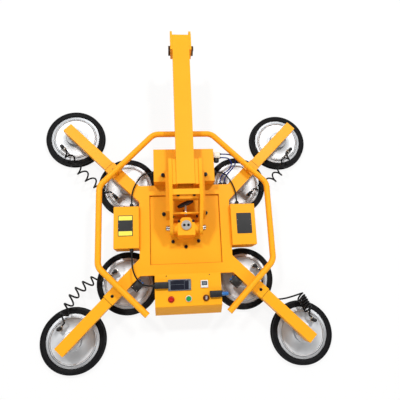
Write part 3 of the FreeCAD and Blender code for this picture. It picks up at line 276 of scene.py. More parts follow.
def turned(profile, steps=32):
    """Bmesh of a profile of radii and heights in millimetres, spun round Z, with UVs round it."""
    shape = bmesh.new()
    reach = shape.verts.layers.float.new("reach")
    knots = [shape.verts.new((radius / 1000, 0, height / 1000)) for radius, height in profile]
    for knot, (radius, height) in zip(knots, profile):
        knot[reach] = radius / 1000
    for near, far in zip(knots, knots[1:]):
        shape.edges.new((near, far))
    bmesh.ops.spin(shape, geom=shape.verts[:] + shape.edges[:], axis=(0, 0, 1), cent=(0, 0, 0),
                   steps=steps, angle=2 * math.pi, use_merge=True)
    bmesh.ops.remove_doubles(shape, verts=shape.verts, dist=MERGE_GAP)
    bmesh.ops.recalc_face_normals(shape, faces=shape.faces)
    wrap = shape.loops.layers.uv.new("turn")
    for face in shape.faces:
        middle = math.atan2(face.calc_center_median().y, face.calc_center_median().x)
        for loop in face.loops:
            x, y, height = loop.vert.co
            lead = math.atan2(y, x) - middle if math.hypot(x, y) > MERGE_GAP else 0
            lead = (lead + math.pi) % (2 * math.pi) - math.pi
            loop[wrap].uv = ((middle + lead) / (2 * math.pi), math.hypot(x, y) * TURN_ROWS)
    return shape


def slab(low, high, round_by=0.0, segments=3, upright_only=False):
    """Bmesh of a block between two corners, in metres, with rounded edges."""
    shape = bmesh.new()
    low = Vector(low)
    high = Vector(high)
    bmesh.ops.create_cube(shape, size=1, matrix=Matrix.Translation((low + high) / 2)
                          @ Matrix.Diagonal((*(high - low), 1)))
    if round_by:
        edges = [edge for edge in shape.edges if not upright_only
                 or abs((edge.verts[0].co - edge.verts[1].co).z) > UPRIGHT_SHARE * (high - low).z]
        bmesh.ops.bevel(shape, geom=edges, offset=round_by, segments=segments, profile=0.5,
                        affect="EDGES", material=-1, clamp_overlap=True)
    return shape


def facing(place, heading):
    """Matrix that stands a shape's Z along a heading, at a place."""
    return Matrix.Translation(place) @ Vector(heading).to_track_quat("Z", "Y").to_matrix().to_4x4()


def stamp(shape, part, turn=None, index=0):
    """Moves a part into a shape, with its faces given one material."""
    for face in part.faces:
        face.material_index = index
    mesh = bpy.data.meshes.new("stamp")
    part.to_mesh(mesh)
    part.free()
    if turn:
        mesh.transform(turn)
    shape.from_mesh(mesh)
    bpy.data.meshes.remove(mesh)


def make(name, shape, materials, body, slot, *nodes):
    """Finished piece: normals out, smooth up to a crease, riding on a body."""
    bmesh.ops.recalc_face_normals(shape, faces=shape.faces)
    mesh = bpy.data.meshes.new(name)
    shape.to_mesh(mesh)
    shape.free()
    for material in materials:
        mesh.materials.append(material)
    mesh.shade_smooth()
    mesh.set_sharp_from_angle(angle=CREASE)
    piece = placed(name, mesh)
    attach(piece, body)
    if nodes:
        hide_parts(*nodes)
    return piece


black_lead = finish("black_lead", (0.005, 0.005, 0.006), (0.014, 0.014, 0.014), scale=50, spread=0.6,
                    grain=800, low=0.36, high=0.52, specular=0.15)
blue_line = finish("blue_line", (0.005, 0.022, 0.2), (0.004, 0.018, 0.15), scale=50, spread=0.6,
                   grain=800, low=0.26, high=0.38, bump=0.05, specular=0.25)
black_plastic = finish("black_plastic", (0.009, 0.009, 0.01), (0.022, 0.022, 0.023), scale=30,
                       spread=0.6, grain=1100, low=0.4, high=0.55, bump=0.12, specular=0.35)


def smooth_route(name, route, resolution):
    """Smooth curve drawn along its route points, cutting their corners."""
    line = bpy.data.curves.new(name, "CURVE")
    line.dimensions = "3D"
    line.resolution_u = resolution
    spline = line.splines.new("NURBS")
    spline.points.add(len(route) - 1)
    for knot, place in zip(spline.points, route):
        knot.co = (*place, 1)
    spline.order_u = 3
    spline.use_endpoint_u = True
    return placed(name, line)


def as_mesh(piece):
    """Mesh of a curve as it is now."""
    return bpy.data.meshes.new_from_object(
        piece.evaluated_get(bpy.context.evaluated_depsgraph_get()))


def middle_line(piece):
    """Places along a bare curve, and its length."""
    bare = as_mesh(piece)
    places = [vertex.co.copy() for vertex in bare.vertices]
    bpy.data.meshes.remove(bare)
    return places, sum((far - near).length for near, far in zip(places, places[1:]))


def tie_band(grip):
    """Nylon band with its square head, round a lead of a given radius in millimetres."""
    inner = grip - TIE_BITE
    outer = grip + TIE_THICK
    band = turned([(inner, -TIE_HALF), (outer - TIE_BREAK, -TIE_HALF), (outer, TIE_RIM - TIE_HALF),
                   (outer, TIE_HALF - TIE_RIM), (outer - TIE_BREAK, TIE_HALF), (inner, TIE_HALF),
                   (inner, -TIE_HALF)], 24)
    across, tall, along = TIE_HEAD
    stamp(band, slab((-across, grip / 1000, -along), (across, grip / 1000 + tall, along),
                     TIE_HEAD_ROUND))
    return band


def lead(name, node, material, slot, diameter, points, tie_share=None):
    """Free lead on a smooth route, in millimetres from the turntable axis, with or without a tie."""
    route = [at(*point) for point in points]
    piece = smooth_route(name, route, 10)
    line = piece.data
    line.use_fill_caps = True
    for knot in line.splines[0].points:
        knot.radius = diameter / 2
    line.materials.append(material)
    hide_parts(node)
    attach(piece, "frame")
    places, length = middle_line(piece)
    line.bevel_depth = 1
    line.bevel_resolution = 4
    if tie_share:
        knot = int(tie_share * len(places))
        band = tie_band(diameter * 500)
        band.transform(facing(places[knot], places[knot + 1] - places[knot]))
        make(name + "_tie", band, [black_plastic], "frame", "black_plastic")


lead("battery_pump_lead", "battery_pump_cable", black_lead, "black_cable", CABLE_DIAMETER,
     [(-250, 123, 143), (-250.1, 158, 143), (-241, 200, 143), (-218, 242.1, 143), (-192, 272, 143),
      (-159, 272, 143)], TIE_SHARE)
lead("charger_pump_lead", "charger_pump_cable", black_lead, "black_cable", CABLE_DIAMETER,
     [(250, 123, 143), (250.1, 158, 143), (241, 200, 143), (218, 242.1, 143), (192, 272, 143),
      (159, 272, 143)])
lead("battery_panel_lead", "battery_panel_cable", black_lead, "black_cable", CABLE_DIAMETER,
     [(-250, -104, 143), (-249.9, -140, 143), (-246, -179.9, 160), (-230, -219.9, 186),
      (-198, -259, 209), (-160, -259, 209)])
lead("outer_blue_line", "air_line_outer", blue_line, "blue_tube", AIR_DIAMETER,
     [(179, 358, 163), (206.9, 358, 163), (237.9, 354, 160), (261.4, 332, 152), (253, 302, 138),
      (226.7, 278.1, 122), (203.4, 252.1, 110), (203, 228, 110)])
lead("inner_blue_line", "air_line_inner", blue_line, "blue_tube", AIR_DIAMETER,
     [(179, 344, 152), (201.9, 344, 152), (226.2, 339.9, 149), (240.9, 318, 142), (232.2, 292, 131),
      (206.5, 276, 120), (181.5, 254, 110), (181, 228, 110)])


# Curly air hoses: black coiled nylon tube, pushed on the barbs of an inner and an outer cup.
# Each one stretches when its arm slides: the frame holds one end and the arm the other.
CORNERS = ("upper_left", "upper_right", "lower_left", "lower_right")
HEADINGS = {"upper_left": 135, "upper_right": 45, "lower_left": 225, "lower_right": -45}
SIDES = {"upper_left": -1, "upper_right": 1, "lower_left": -1, "lower_right": 1}
HOSE_SIDES = {"upper_left": 1, "upper_right": -1, "lower_left": -1, "lower_right": 1}
ARM_ORIGIN = 42
INNER_CUP = 336
OUTER_CUPS = {"upper_left": 715, "upper_right": 671, "lower_left": 688, "lower_right": 715}
BARB_REACH = 22
BARB_ACROSS = 80
BARB_UP = 62
HOSE_DIAMETER = 0.008
LEAD_INS = (0.008, 0.016)
CURL_RADIUS = 0.020
CURL_KEPT_SHARE = 0.966
CURL_STEPS = 12
CURL_SHARES = {"upper_left": (5, 0.10, 0.90), "upper_right": (5, 0.10, 0.90),
               "lower_left": (6, 0.10, 0.90), "lower_right": (6, 0.10, 0.30)}
BOW_SHARES = {"upper_left": 0.08, "upper_right": 0.13, "lower_left": 0.19, "lower_right": 0.14}
TAIL_SHARES = {"lower_right": ((0.41, 0.95), (0.48, 0.56), (0.56, 0.24), (0.66, 0.14), (0.76, 0.24),
                               (0.85, 0.58), (0.92, 0.90))}


def arm_turn(corner):
    """Matrix from along, across and up on one arm, in metres, to the shared frame."""
    return (Matrix.Translation(at(SIDES[corner] * ARM_ORIGIN, 0, 0))
            @ Matrix.Rotation(math.radians(HEADINGS[corner]), 4, "Z"))


def on_arm(corner, along, across, up):
    """Place on one arm, in millimetres along, across and up."""
    return arm_turn(corner) @ (Vector((along, across, up)) / 1000)


for corner in CORNERS:
    curls, first_share, last_share = CURL_SHARES[corner]
    side = HOSE_SIDES[corner]
    start = on_arm(corner, OUTER_CUPS[corner] - BARB_REACH, side * BARB_ACROSS, BARB_UP)
    end = on_arm(corner, INNER_CUP + BARB_REACH, side * BARB_ACROSS, BARB_UP)
    inward = (end - start).normalized()
    outward = (on_arm(corner, 0, side, 0) - on_arm(corner, 0, 0, 0)).normalized()
    run = (end - start).length
    curl = CURL_RADIUS / CURL_KEPT_SHARE
    route = [start, *[start + inward * reach for reach in LEAD_INS]]
    steps = CURL_STEPS * curls
    for step in range(steps + 1):
        share = first_share + (last_share - first_share) * step / steps
        bow = run * BOW_SHARES[corner] * 4 * share * (1 - share)
        swing = 2 * math.pi * curls * step / steps
        route.append(start + inward * (run * share) + outward * bow
                     + outward * (curl * math.cos(swing)) + Vector((0, 0, curl * math.sin(swing))))
    for share, across in TAIL_SHARES.get(corner, ()):
        route.append(start + inward * (run * share)
                     - outward * (BARB_ACROSS / 1000 * (1 - across)))
    route += [*[end - inward * reach for reach in reversed(LEAD_INS)], end]
    former = smooth_route("hose_route", route, 3)
    places, length = middle_line(former)
    former.data.bevel_depth = HOSE_DIAMETER / 2
    former.data.bevel_resolution = 3
    former.data.use_fill_caps = True
    tube = as_mesh(former)
    bpy.data.objects.remove(former)
    tube.name = "curly_hose_" + corner
    tube.materials.clear()
    tube.materials.append(black_lead)
    hose = placed("curly_hose_" + corner, tube)
    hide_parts("hose_" + corner)
    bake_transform(hose)


# Painted steel: the welded frame, rail, sheet boxes, arms, yoke and boom.
# Sprayed yellow enamel over mild steel with eased edges, a little uneven and dull where rubbed.
PAINTED_EDGE = 0.0016
CORNER_GAP = 0.00002
FLAT_ANGLE = math.radians(0.5)
SHARP_ANGLE = math.radians(40)
EASED = ("main_frame", "pump_box", "battery_box", "charger_box", "control_box", "yoke", "boom",
         "head_clevis", *["arm_" + corner for corner in CORNERS])


def dress(material, *nodes):
    """Gives CAD nodes their finish."""
    for node in nodes:
        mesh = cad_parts[node].data
        mesh.materials.clear()
        mesh.materials.append(material)


def ease(width, *nodes):
    """Rounds the sharp edges of CAD nodes by a small radius."""
    for node in nodes:
        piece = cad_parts[node]
        weld = piece.modifiers.new("join_corners", "WELD")
        weld.merge_threshold = CORNER_GAP
        flat = piece.modifiers.new("flat_faces", "DECIMATE")
        flat.decimate_type = "DISSOLVE"
        flat.angle_limit = FLAT_ANGLE
        edge = piece.modifiers.new("eased_edges", "BEVEL")
        edge.width = width
        edge.segments = 2
        edge.limit_method = "ANGLE"
        edge.angle_limit = SHARP_ANGLE
        edge.use_clamp_overlap = True
        shade = piece.modifiers.new("even_shading", "WEIGHTED_NORMAL")
        shade.keep_sharp = False


yellow = finish("yellow_enamel", (0.95, 0.405, 0.016), (0.9, 0.36, 0.012), scale=5, grain=520, low=0.32,
                high=0.46, bump=0.05, specular=0.1)
dress(yellow, "handle_rail", *EASED)
ease(PAINTED_EDGE, *EASED)


# Weld beads: along the boom tube and packers inside the fork, and round the hub's foot.
# Short overlapping runs of filler, painted over with the rest.
DROP_STEP_SHARE = 1.1
DROP_FLAT_SHARE = 0.8
FORK_RUNS = ((40.5, 169, 281, 312.5, 2.2), (58.5, 169, 281, 312.5, 2.2), (74.5, 64, 243, 250.2, 2.2),
             (58.3, 121, 142, 318, 1.8), (58.3, 54, 58, 225, 1.8))
HUB_CORNERS = ((-40, -45), (40, -45), (40, 8), (18, 36), (-18, 36), (-40, 8))
HUB_FOOT = 145.4
HUB_BEAD = 2.6


def bead(shape, start, end, radius):
    """Row of overlapping drops between two places, in millimetres from the axis."""
    first = at(*start)
    last = at(*end)
    drops = max(2, round((last - first).length * 1000 / (radius * DROP_STEP_SHARE)))
    for drop in range(drops + 1):
        ball = bmesh.new()
        bmesh.ops.create_uvsphere(ball, u_segments=8, v_segments=5, radius=radius / 1000)
        stamp(shape, ball, Matrix.Translation(first.lerp(last, drop / drops))
              @ Matrix.Diagonal((1, 1, DROP_FLAT_SHARE, 1)))


shape = bmesh.new()
for side in (-1, 1):
    for x, first, last, height, radius in FORK_RUNS:
        bead(shape, (side * x, first, height), (side * x, last, height), radius)
make("fork_welds", shape, [yellow], "boom", "yellow_paint")
shape = bmesh.new()
for near, far in zip(HUB_CORNERS, HUB_CORNERS[1:] + HUB_CORNERS[:1]):
    bead(shape, (*near, HUB_FOOT), (*far, HUB_FOOT), HUB_BEAD)
make("hub_welds", shape, [yellow], "turntable", "yellow_paint")


# Panel edge shade: a thin strip round the sunk panel, where it meets the channel ring.
# A smoothed strip coloured darker than the rest: painted shade along the recess's edges.
SHADE_STRIP_X = 165.7
SHADE_STRIP_Y = 162.7
SHADE_STRIP_HALF = 1.2
SHADE_STRIP_LAP = 1.1
SHADE_STRIP_LOW = 122.6
SHADE_STRIP_HIGH = 124.6
SHADE_STRIP_ROUND = 0.0009
# Darker yellow for the strip: painted shade where the recess walls shadow the panel.
painted_recess_shade = finish("recess_painted_shade", (0.5, 0.165, 0.006), (0.4, 0.125, 0.005), scale=40, spread=0.6, grain=520,
              low=0.36, high=0.5, bump=0.05, specular=0.1)
shape = bmesh.new()
for side in (-1, 1):
    for x, y, half_x, half_y in ((side * SHADE_STRIP_X, 0, SHADE_STRIP_HALF, SHADE_STRIP_Y + SHADE_STRIP_LAP),
                                 (0, side * SHADE_STRIP_Y, SHADE_STRIP_X + SHADE_STRIP_LAP, SHADE_STRIP_HALF)):
        stamp(shape, slab(at(x - half_x, y - half_y, SHADE_STRIP_LOW), at(x + half_x, y + half_y, SHADE_STRIP_HIGH),
                          SHADE_STRIP_ROUND))
make("panel_edge_shade", shape, [painted_recess_shade], "frame", "yellow_paint")


# Cap screws and bolts: black screws in the panel, boxes, sleeves and hub, hex bolts in the head.
# Oxide black alloy steel with hexagon sockets and bevelled rims; the head's bolts are coloured dark
# brown.
PANEL_TOP = 123
BOX_TOP = 200
SLEW_CIRCLE = 85
SLEW_COUNT = 8
SOCKET_SHARE = 0.55
RIM_SHARE = 0.12
WASHER_OUTER_SHARE = 1.22
WASHER_INNER_SHARE = 0.6
WASHER_THICK = 1.2
HEAD_BOLT_Y = 849
HEAD_BOLT_HEIGHTS = (262, 298)
HEAD_CHEEK = 50.2
HEAD_SHANK = [(0, -50), (8, -50), (8, 50), (0, 50)]
HEAD_WASHER = (12.8, 8, 1.6)
HEAD_HEXAGON = (12.5, 1.6, 10, 0.8)
black_oxide = finish("black_oxide", (0.005, 0.005, 0.005), (0.016, 0.015, 0.014), spread=0.6, low=0.28,
                     high=0.42, bump=0.06, specular=0.25)
# Dark brown for the head's hex bolts.
dark_brown_steel = finish("dark_brown_steel", (0.05, 0.024, 0.01), (0.09, 0.045, 0.02), spread=0.6, low=0.35,
                     high=0.5, specular=0.3)


def socket_head(radius, height):
    """Round screw head on z = 0 with a bevelled rim and a hexagon socket, in millimetres."""
    shape = bmesh.new()
    bmesh.ops.create_cone(shape, cap_ends=True, segments=30, radius1=radius / 1000,
                          radius2=radius / 1000, depth=height / 1000,
                          matrix=Matrix.Translation((0, 0, height / 2000)))
    top = max(shape.faces, key=lambda face: face.calc_center_median().z)
    rim = list(top.edges)
    bmesh.ops.delete(shape, geom=[top], context="FACES_ONLY")
    ring = bmesh.ops.create_circle(shape, segments=6, radius=radius * SOCKET_SHARE / 1000,
                                   matrix=Matrix.Translation((0, 0, height / 1000)))["verts"]
    mouth = list({edge for vertex in ring for edge in vertex.link_edges})
    bmesh.ops.bridge_loops(shape, edges=rim + mouth)
    sunk = bmesh.ops.extrude_edge_only(shape, edges=mouth)["geom"]
    floor_verts = [part for part in sunk if isinstance(part, bmesh.types.BMVert)]
    bmesh.ops.translate(shape, verts=floor_verts, vec=(0, 0, -height * SOCKET_SHARE / 1000))
    bmesh.ops.contextual_create(shape, geom=floor_verts)
    bmesh.ops.bevel(shape, geom=rim, offset=radius * RIM_SHARE / 1000, segments=2, profile=0.5,
                    affect="EDGES", material=-1)
    return shape


def washer(outer, inner, thick):
    """Plain flat ring with broken edges, in millimetres."""
    return turned([(inner, 0), (outer, 0), (outer, thick * 0.7), (outer - thick * 0.3, thick),
                   (inner, thick), (inner, 0)], 30)


def hexagon(radius, low, high, eased):
    """Hexagon head or nut between two heights, with broken edges, in millimetres."""
    shape = bmesh.new()
    bmesh.ops.create_cone(shape, cap_ends=True, segments=6, radius1=radius / 1000,
                          radius2=radius / 1000, depth=(high - low) / 1000,
                          matrix=Matrix.Translation((0, 0, (low + high) / 2000)))
    bmesh.ops.bevel(shape, geom=shape.edges[:], offset=eased / 1000, segments=2, profile=0.5,
                    affect="EDGES", material=-1)
    return shape


def screws(name, places, body, *nodes, radius, height, heading=(0, 0, 1), with_washer=False):
    """Group of socket screws at places in the shared frame, sized in millimetres."""
    shape = bmesh.new()
    for place in places:
        turn = facing(place, heading)
        if with_washer:
            stamp(shape, washer(radius * WASHER_OUTER_SHARE, radius * WASHER_INNER_SHARE,
                                WASHER_THICK), turn)
        stamp(shape, socket_head(radius, height), turn)
    make(name, shape, [black_oxide], body, "black_bolts", *nodes)


slew_angles = [math.radians(360 / SLEW_COUNT * step) for step in range(SLEW_COUNT)]
screws("turntable_screws", [at(SLEW_CIRCLE * math.cos(angle), SLEW_CIRCLE * math.sin(angle), PANEL_TOP)
                            for angle in slew_angles], "frame", "slew_bolts", radius=8, height=8)
screws("panel_screws", [at(side * 100, y, z) for side in (-1, 1)
                        for y, z in ((73, PANEL_TOP), (243, BOX_TOP))],
       "frame", "panel_bolts", radius=9, height=10)
screws("sleeve_lock_screws", [on_arm(corner, 418, 0, 132.5) for corner in CORNERS],
       "frame", "arm_lock_screws", radius=6.9, height=5.4)
screws("hub_screws", [at(side * 32, 19, 222) for side in (-1, 1)], "turntable", radius=5, height=5,
       with_washer=True)
screws("cap_screws", [at(side * 9.4, 0, 230.5) for side in (-1, 1)], "frame", radius=6.2, height=1.6)
screws("tie_screws", [at(side * 35, 119, 306) for side in (-1, 1)], "boom", radius=6, height=5,
       heading=(0, -1, 0), with_washer=True)
screws("box_screws", [at(side * 95, -220, BOX_TOP) for side in (-1, 1)], "frame", radius=2.4,
       height=1.8)
shape = bmesh.new()
for height in HEAD_BOLT_HEIGHTS:
    for side in (-1, 1):
        turn = facing(at(side * HEAD_CHEEK, HEAD_BOLT_Y, height), (side, 0, 0))
        stamp(shape, washer(*HEAD_WASHER), turn)
        stamp(shape, hexagon(*HEAD_HEXAGON), turn)
    stamp(shape, turned(HEAD_SHANK, 24), facing(at(0, HEAD_BOLT_Y, height), (1, 0, 0)))
make("head_hex_bolts", shape, [dark_brown_steel], "boom", "black_bolts", "head_bolts")


# Axle, its cap, the tilt pins and their bushes: turned from bright bar, the bushes from bronze.
# The cap is held by two low screws; the pins show tool marks and are grooved for a clip.
CAP_EDGE = 0.001
BRUSHED_SHARE = 0.5
MARK_DEPTH = 0.0003
TILT_Y = -8
TILT_Z = 195
TILT_PIN = [(0, 40), (11, 40), (11, 74.3), (13, 74.3), (13, 80), (12, 80.8), (12, 82.4), (13, 83.2),
            (13, 88.8), (11.6, 90.3), (4, 90.3), (3, 88.6), (0, 88.6)]


def lathe_finish(name, base, worn, low, high, marks):
    """Bright metal with fine rings round a turned piece's own axis, and the sheen they give."""
    material = bpy.data.materials.new(name)
    material.use_nodes = True
    tree = material.node_tree
    shader = tree.nodes["Principled BSDF"]
    shader.inputs["Metallic"].default_value = 1.0
    shader.inputs["Anisotropic"].default_value = BRUSHED_SHARE
    around = add(tree, "ShaderNodeTangent", direction_type="UV_MAP", uv_map="turn")
    reach = add(tree, "ShaderNodeAttribute", attribute_name="reach")
    rings = add(tree, "ShaderNodeTexNoise", noise_dimensions="1D", Scale=marks, Detail=2.0)
    tone = add(tree, "ShaderNodeGroup", node_tree=surface_tone, Base=(*base, 1), Worn=(*worn, 1),
               Scale=7, Spread=0.35)
    gloss = add(tree, "ShaderNodeMapRange", **{"To Min": low, "To Max": high})
    lift = add(tree, "ShaderNodeBump", Strength=0.04, Distance=MARK_DEPTH)
    wire(tree, around, "Tangent", shader, "Tangent")
    wire(tree, reach, "Fac", rings, "W")
    wire(tree, tone, "Color", shader, "Base Color")
    wire(tree, rings, "Fac", gloss, "Value")
    wire(tree, gloss, "Result", shader, "Roughness")
    wire(tree, rings, "Fac", lift, "Height")
    wire(tree, lift, "Normal", shader, "Normal")
    return material


bright_bar = finish("bright_bar", (0.56, 0.545, 0.53), (0.46, 0.445, 0.43), scale=40, grain=1400,
                    low=0.22, high=0.36, bump=0.04, metallic=1.0)
turned_steel = lathe_finish("turned_steel", (0.6, 0.59, 0.575), (0.48, 0.47, 0.455), low=0.2, high=0.34,
                            marks=2600.0)
bronze = finish("bush_bronze", (0.56, 0.37, 0.16), (0.4, 0.25, 0.1), scale=50, spread=0.6, grain=1200,
                bump=0.06, metallic=1.0)
dress(bright_bar, "turntable_axle", "axle_cap")
dress(bronze, "tilt_bushes")
ease(CAP_EDGE, "axle_cap")
shape = bmesh.new()
for side in (-1, 1):
    stamp(shape, turned(TILT_PIN, 40), facing(at(0, TILT_Y, TILT_Z), (side, 0, 0)))
make("tilt_pins", shape, [turned_steel], "turntable", "turned_steel", "trunnion_bolts")


# Lock plunger: steel pin with a moulded grip set across its end, sliding in the fork's bar.
# Black nylon grip, swollen in the middle and grooved for the fingers.
PLUNGER_PIN = [(0, 48), (5.6, 48), (7, 50.5), (7, 66), (6.4, 67), (6.4, 69), (7, 70), (7, 101), (0, 101)]
PLUNGER_UP = 210
GRIP_AT = 101
GRIP_HALF = 39
GRIP_RADIUS = 11
GRIP_TAPER = 41.5
GRIP_POWER = 2.6
GRIP_STEPS = 24
FINGER_SPAN = 24
FINGER_EVERY = 4
FINGER_DEEP = 0.7
GRIP_SKEW = math.radians(20)
GRIP_LAID = math.radians(80)
swell = []
for step in range(GRIP_STEPS + 1):
    along = -GRIP_HALF + 2 * GRIP_HALF * step / GRIP_STEPS
    radius = GRIP_RADIUS * (1 - abs(along / GRIP_TAPER) ** GRIP_POWER) ** 0.5
    in_groove = step % FINGER_EVERY == FINGER_EVERY // 2 and abs(along) < FINGER_SPAN
    swell.append((radius - FINGER_DEEP if in_groove else radius, along))
grip = turned([(0, -GRIP_HALF), *swell, (0, GRIP_HALF)], 36)
grip.transform(Matrix.Translation(at(0, GRIP_AT, PLUNGER_UP)) @ Matrix.Rotation(GRIP_SKEW, 4, "Z")
               @ Matrix.Rotation(GRIP_LAID, 4, "Y"))
shape = turned(PLUNGER_PIN, 32)
shape.transform(facing(at(0, 0, PLUNGER_UP), (0, 1, 0)))
stamp(shape, grip, index=1)
make("plunger_grip", shape, [turned_steel, black_plastic], "plunger", "black_plastic", "lock_plunger")


# Suction cups: a soft black rubber ring, stepped and grooved, pushed on a turned aluminium disc.
# The rubber is matt and slightly chalky; the disc has a raised rib and a hub.
CUP_STEPS = 96
RING = [(144, 0), (149.4, 0), (150, 0.8), (150, 5.2), (147.6, 8.4), (143.4, 11.6), (143.2, 13.4),
        (145.4, 17), (146, 20), (146, 28.6), (145.2, 30.3), (143.6, 31), (138.4, 31), (137.6, 29.4),
        (135.6, 29.4), (134.8, 31), (124, 31), (122.4, 30.2), (122, 28.6), (122, 16), (114, 16),
        (114.6, 15.2), (122, 11.6), (124, 11.8), (128, 8.4), (130, 8.6), (144, 0)]
DISC = [(0, 67), (15, 67), (16, 66), (16, 53), (18, 52), (38, 52), (41, 50.8), (42, 48.5), (42, 30),
        (43, 27.2), (46, 26), (97, 26), (99.6, 26.6), (101.4, 29), (103, 30), (105, 30),
        (106.6, 29), (108.4, 26.6), (111, 26), (118.6, 26), (120.4, 25.4), (121.6, 24), (121.6, 17),
        (120.6, 16), (92, 16), (91, 17.6), (88, 17.6), (87, 16), (62, 16), (61, 17.6), (58, 17.6),
        (57, 16), (0, 16)]
CUPS = [("inner_" + corner, corner, INNER_CUP, "frame") for corner in CORNERS]
CUPS += [("outer_" + corner, corner, OUTER_CUPS[corner], corner + "_arm") for corner in CORNERS]
rubber = finish("cup_rubber", (0.007, 0.007, 0.008), (0.02, 0.021, 0.023), scale=16, grain=700, low=0.5,
                high=0.66, bump=0.1, specular=0.07)
aluminium = lathe_finish("turned_aluminium", (0.57, 0.585, 0.61), (0.51, 0.515, 0.52), low=0.48,
                         high=0.58, marks=3200.0)
for cup, corner, along, body in CUPS:
    centre = Matrix.Translation(on_arm(corner, along, 0, 0))
    shape = turned(RING, CUP_STEPS)
    shape.transform(centre)
    make(cup + "_seal", shape, [rubber], body, "cup_rubber", cup + "_ring")
    shape = turned(DISC, CUP_STEPS)
    shape.transform(centre)
    make(cup + "_plate", shape, [aluminium], body, "cup_aluminium", cup + "_disc")


# Hose fittings: an elbow on each disc that feeds it from its curly hose.
# Nickel-plated hexagon base and hose clip, black moulded body with a domed top and a barb.
FITTING_BASE = (12.5, 26, 35, 0.7)
ELBOW = [(0, 35), (7.6, 35), (7.6, 38), (9, 39), (9, 52), (8.4, 53), (8.4, 67), (7.6, 69.6), (5.4, 71),
         (0, 71)]
BARB = [(0, 0), (6, 0), (6, 11), (5.2, 12), (5.2, 13), (6, 13), (5.2, 16.5), (6, 16.5), (5.2, 20),
        (4.2, 22), (0, 22)]
CLIP = [(4.2, 17), (6.4, 17), (6.6, 17.4), (6.6, 21.6), (6.4, 22), (4.2, 22), (4.2, 17)]
nickel = finish("nickel_plate", (0.72, 0.7, 0.66), (0.6, 0.58, 0.54), grain=1500, low=0.14, high=0.26,
                bump=0.03, metallic=1.0)
for cup, corner, along, body in CUPS:
    foot = on_arm(corner, along, HOSE_SIDES[corner] * BARB_ACROSS, 0)
    reach = 1 if cup.startswith("inner") else -1
    heading = on_arm(corner, reach, 0, 0) - on_arm(corner, 0, 0, 0)
    branch = facing(foot + Vector((0, 0, BARB_UP / 1000)), heading)
    shape = bmesh.new()
    stamp(shape, hexagon(*FITTING_BASE), Matrix.Translation(foot))
    stamp(shape, turned(ELBOW, 32), Matrix.Translation(foot), 1)
    stamp(shape, turned(BARB, 28), branch, 1)
    stamp(shape, turned(CLIP, 28), branch)
    make(cup + "_fitting", shape, [nickel, black_plastic], body, "black_plastic")


# Sleeve wipers: thin rubber frames at the mouths of the four sleeves, wiping the sliding arms.
# Moulded flat rings, pushed over the arm and stuck to the sleeve's end.
WIPER_LOW = (0.4451, -0.0278, 0.0792)
WIPER_HIGH = (0.4467, 0.0278, 0.1348)
WIPER_ROUND = 0.0008
WIPER_RIM = 0.0018
WIPER_LEAST_AREA = 0.001
SQUARE_SHARE = 0.99
for corner in CORNERS:
    shape = slab(WIPER_LOW, WIPER_HIGH, WIPER_ROUND, 2)
    hole = [face for face in shape.faces
            if abs(face.normal.x) > SQUARE_SHARE and face.calc_area() > WIPER_LEAST_AREA]
    bmesh.ops.inset_individual(shape, faces=hole, thickness=WIPER_RIM)
    bmesh.ops.bridge_loops(shape, edges=[edge for face in hole for edge in face.edges])
    bmesh.ops.delete(shape, geom=hole, context="FACES_ONLY")
    shape.transform(arm_turn(corner))
    make("sleeve_wiper_" + corner, shape, [rubber], "frame", "cup_rubber")


# Vacuum pump and battery: what the covers hide.
# Grey casting bolted in its tray, and a moulded black case.
grey_casting = finish("pump_casting", (0.2, 0.21, 0.22), (0.14, 0.15, 0.16), scale=20, spread=0.6,
                      grain=350, low=0.45, high=0.6, bump=0.3)
dress(grey_casting, "vacuum_pump")
dress(black_plastic, "battery")


# Box plates: a dark plate on the left box with two lemon bands, and a plain one on the right.
# Anodised sheet with rounded corners, riveted down at its sides.
SIDE_BOX_TOP = 160
PLATE_THICK = 1
PLATE_ROUND = 0.004
BAND_INSET = 3
BAND_LOW = 0.9
BAND_HIGH = 1.3
BAND_ROUND = 0.0015
RIVET = [(0, 0), (1.5, 0), (1.4, 0.5), (0.9, 0.9), (0, 1.1)]
RIVET_INSET = 3.4
RIVET_ROWS = (5, 29)
PLATES = (("left_box_plate", -311, -243, -32, 65, ((-29, -9), (42, 62))),
          ("right_box_plate", 241, 312, -36, 62, ()))
plate_black = finish("plate_black", (0.006, 0.006, 0.007), (0.014, 0.014, 0.016), scale=40, grain=1200,
                     low=0.34, high=0.46, bump=0.04, specular=0.35)
lemon = finish("lemon_band", (0.86, 0.76, 0.07), (0.8, 0.69, 0.06), scale=30, high=0.42, bump=0.03)
for name, left, right, low, high, bands in PLATES:
    shape = slab(at(left, low, SIDE_BOX_TOP), at(right, high, SIDE_BOX_TOP + PLATE_THICK), PLATE_ROUND,
                 4, upright_only=True)
    for bottom, top in bands:
        stamp(shape, slab(at(left + BAND_INSET, bottom, SIDE_BOX_TOP + BAND_LOW),
                          at(right - BAND_INSET, top, SIDE_BOX_TOP + BAND_HIGH), BAND_ROUND,
                          upright_only=True), index=1)
    for x in (left + RIVET_INSET, right - RIVET_INSET):
        for y in RIVET_ROWS:
            stamp(shape, turned(RIVET, 16), Matrix.Translation(at(x, y, SIDE_BOX_TOP + PLATE_THICK)), 2)
    make(name, shape, [plate_black, lemon, nickel], "frame", "black_plastic")


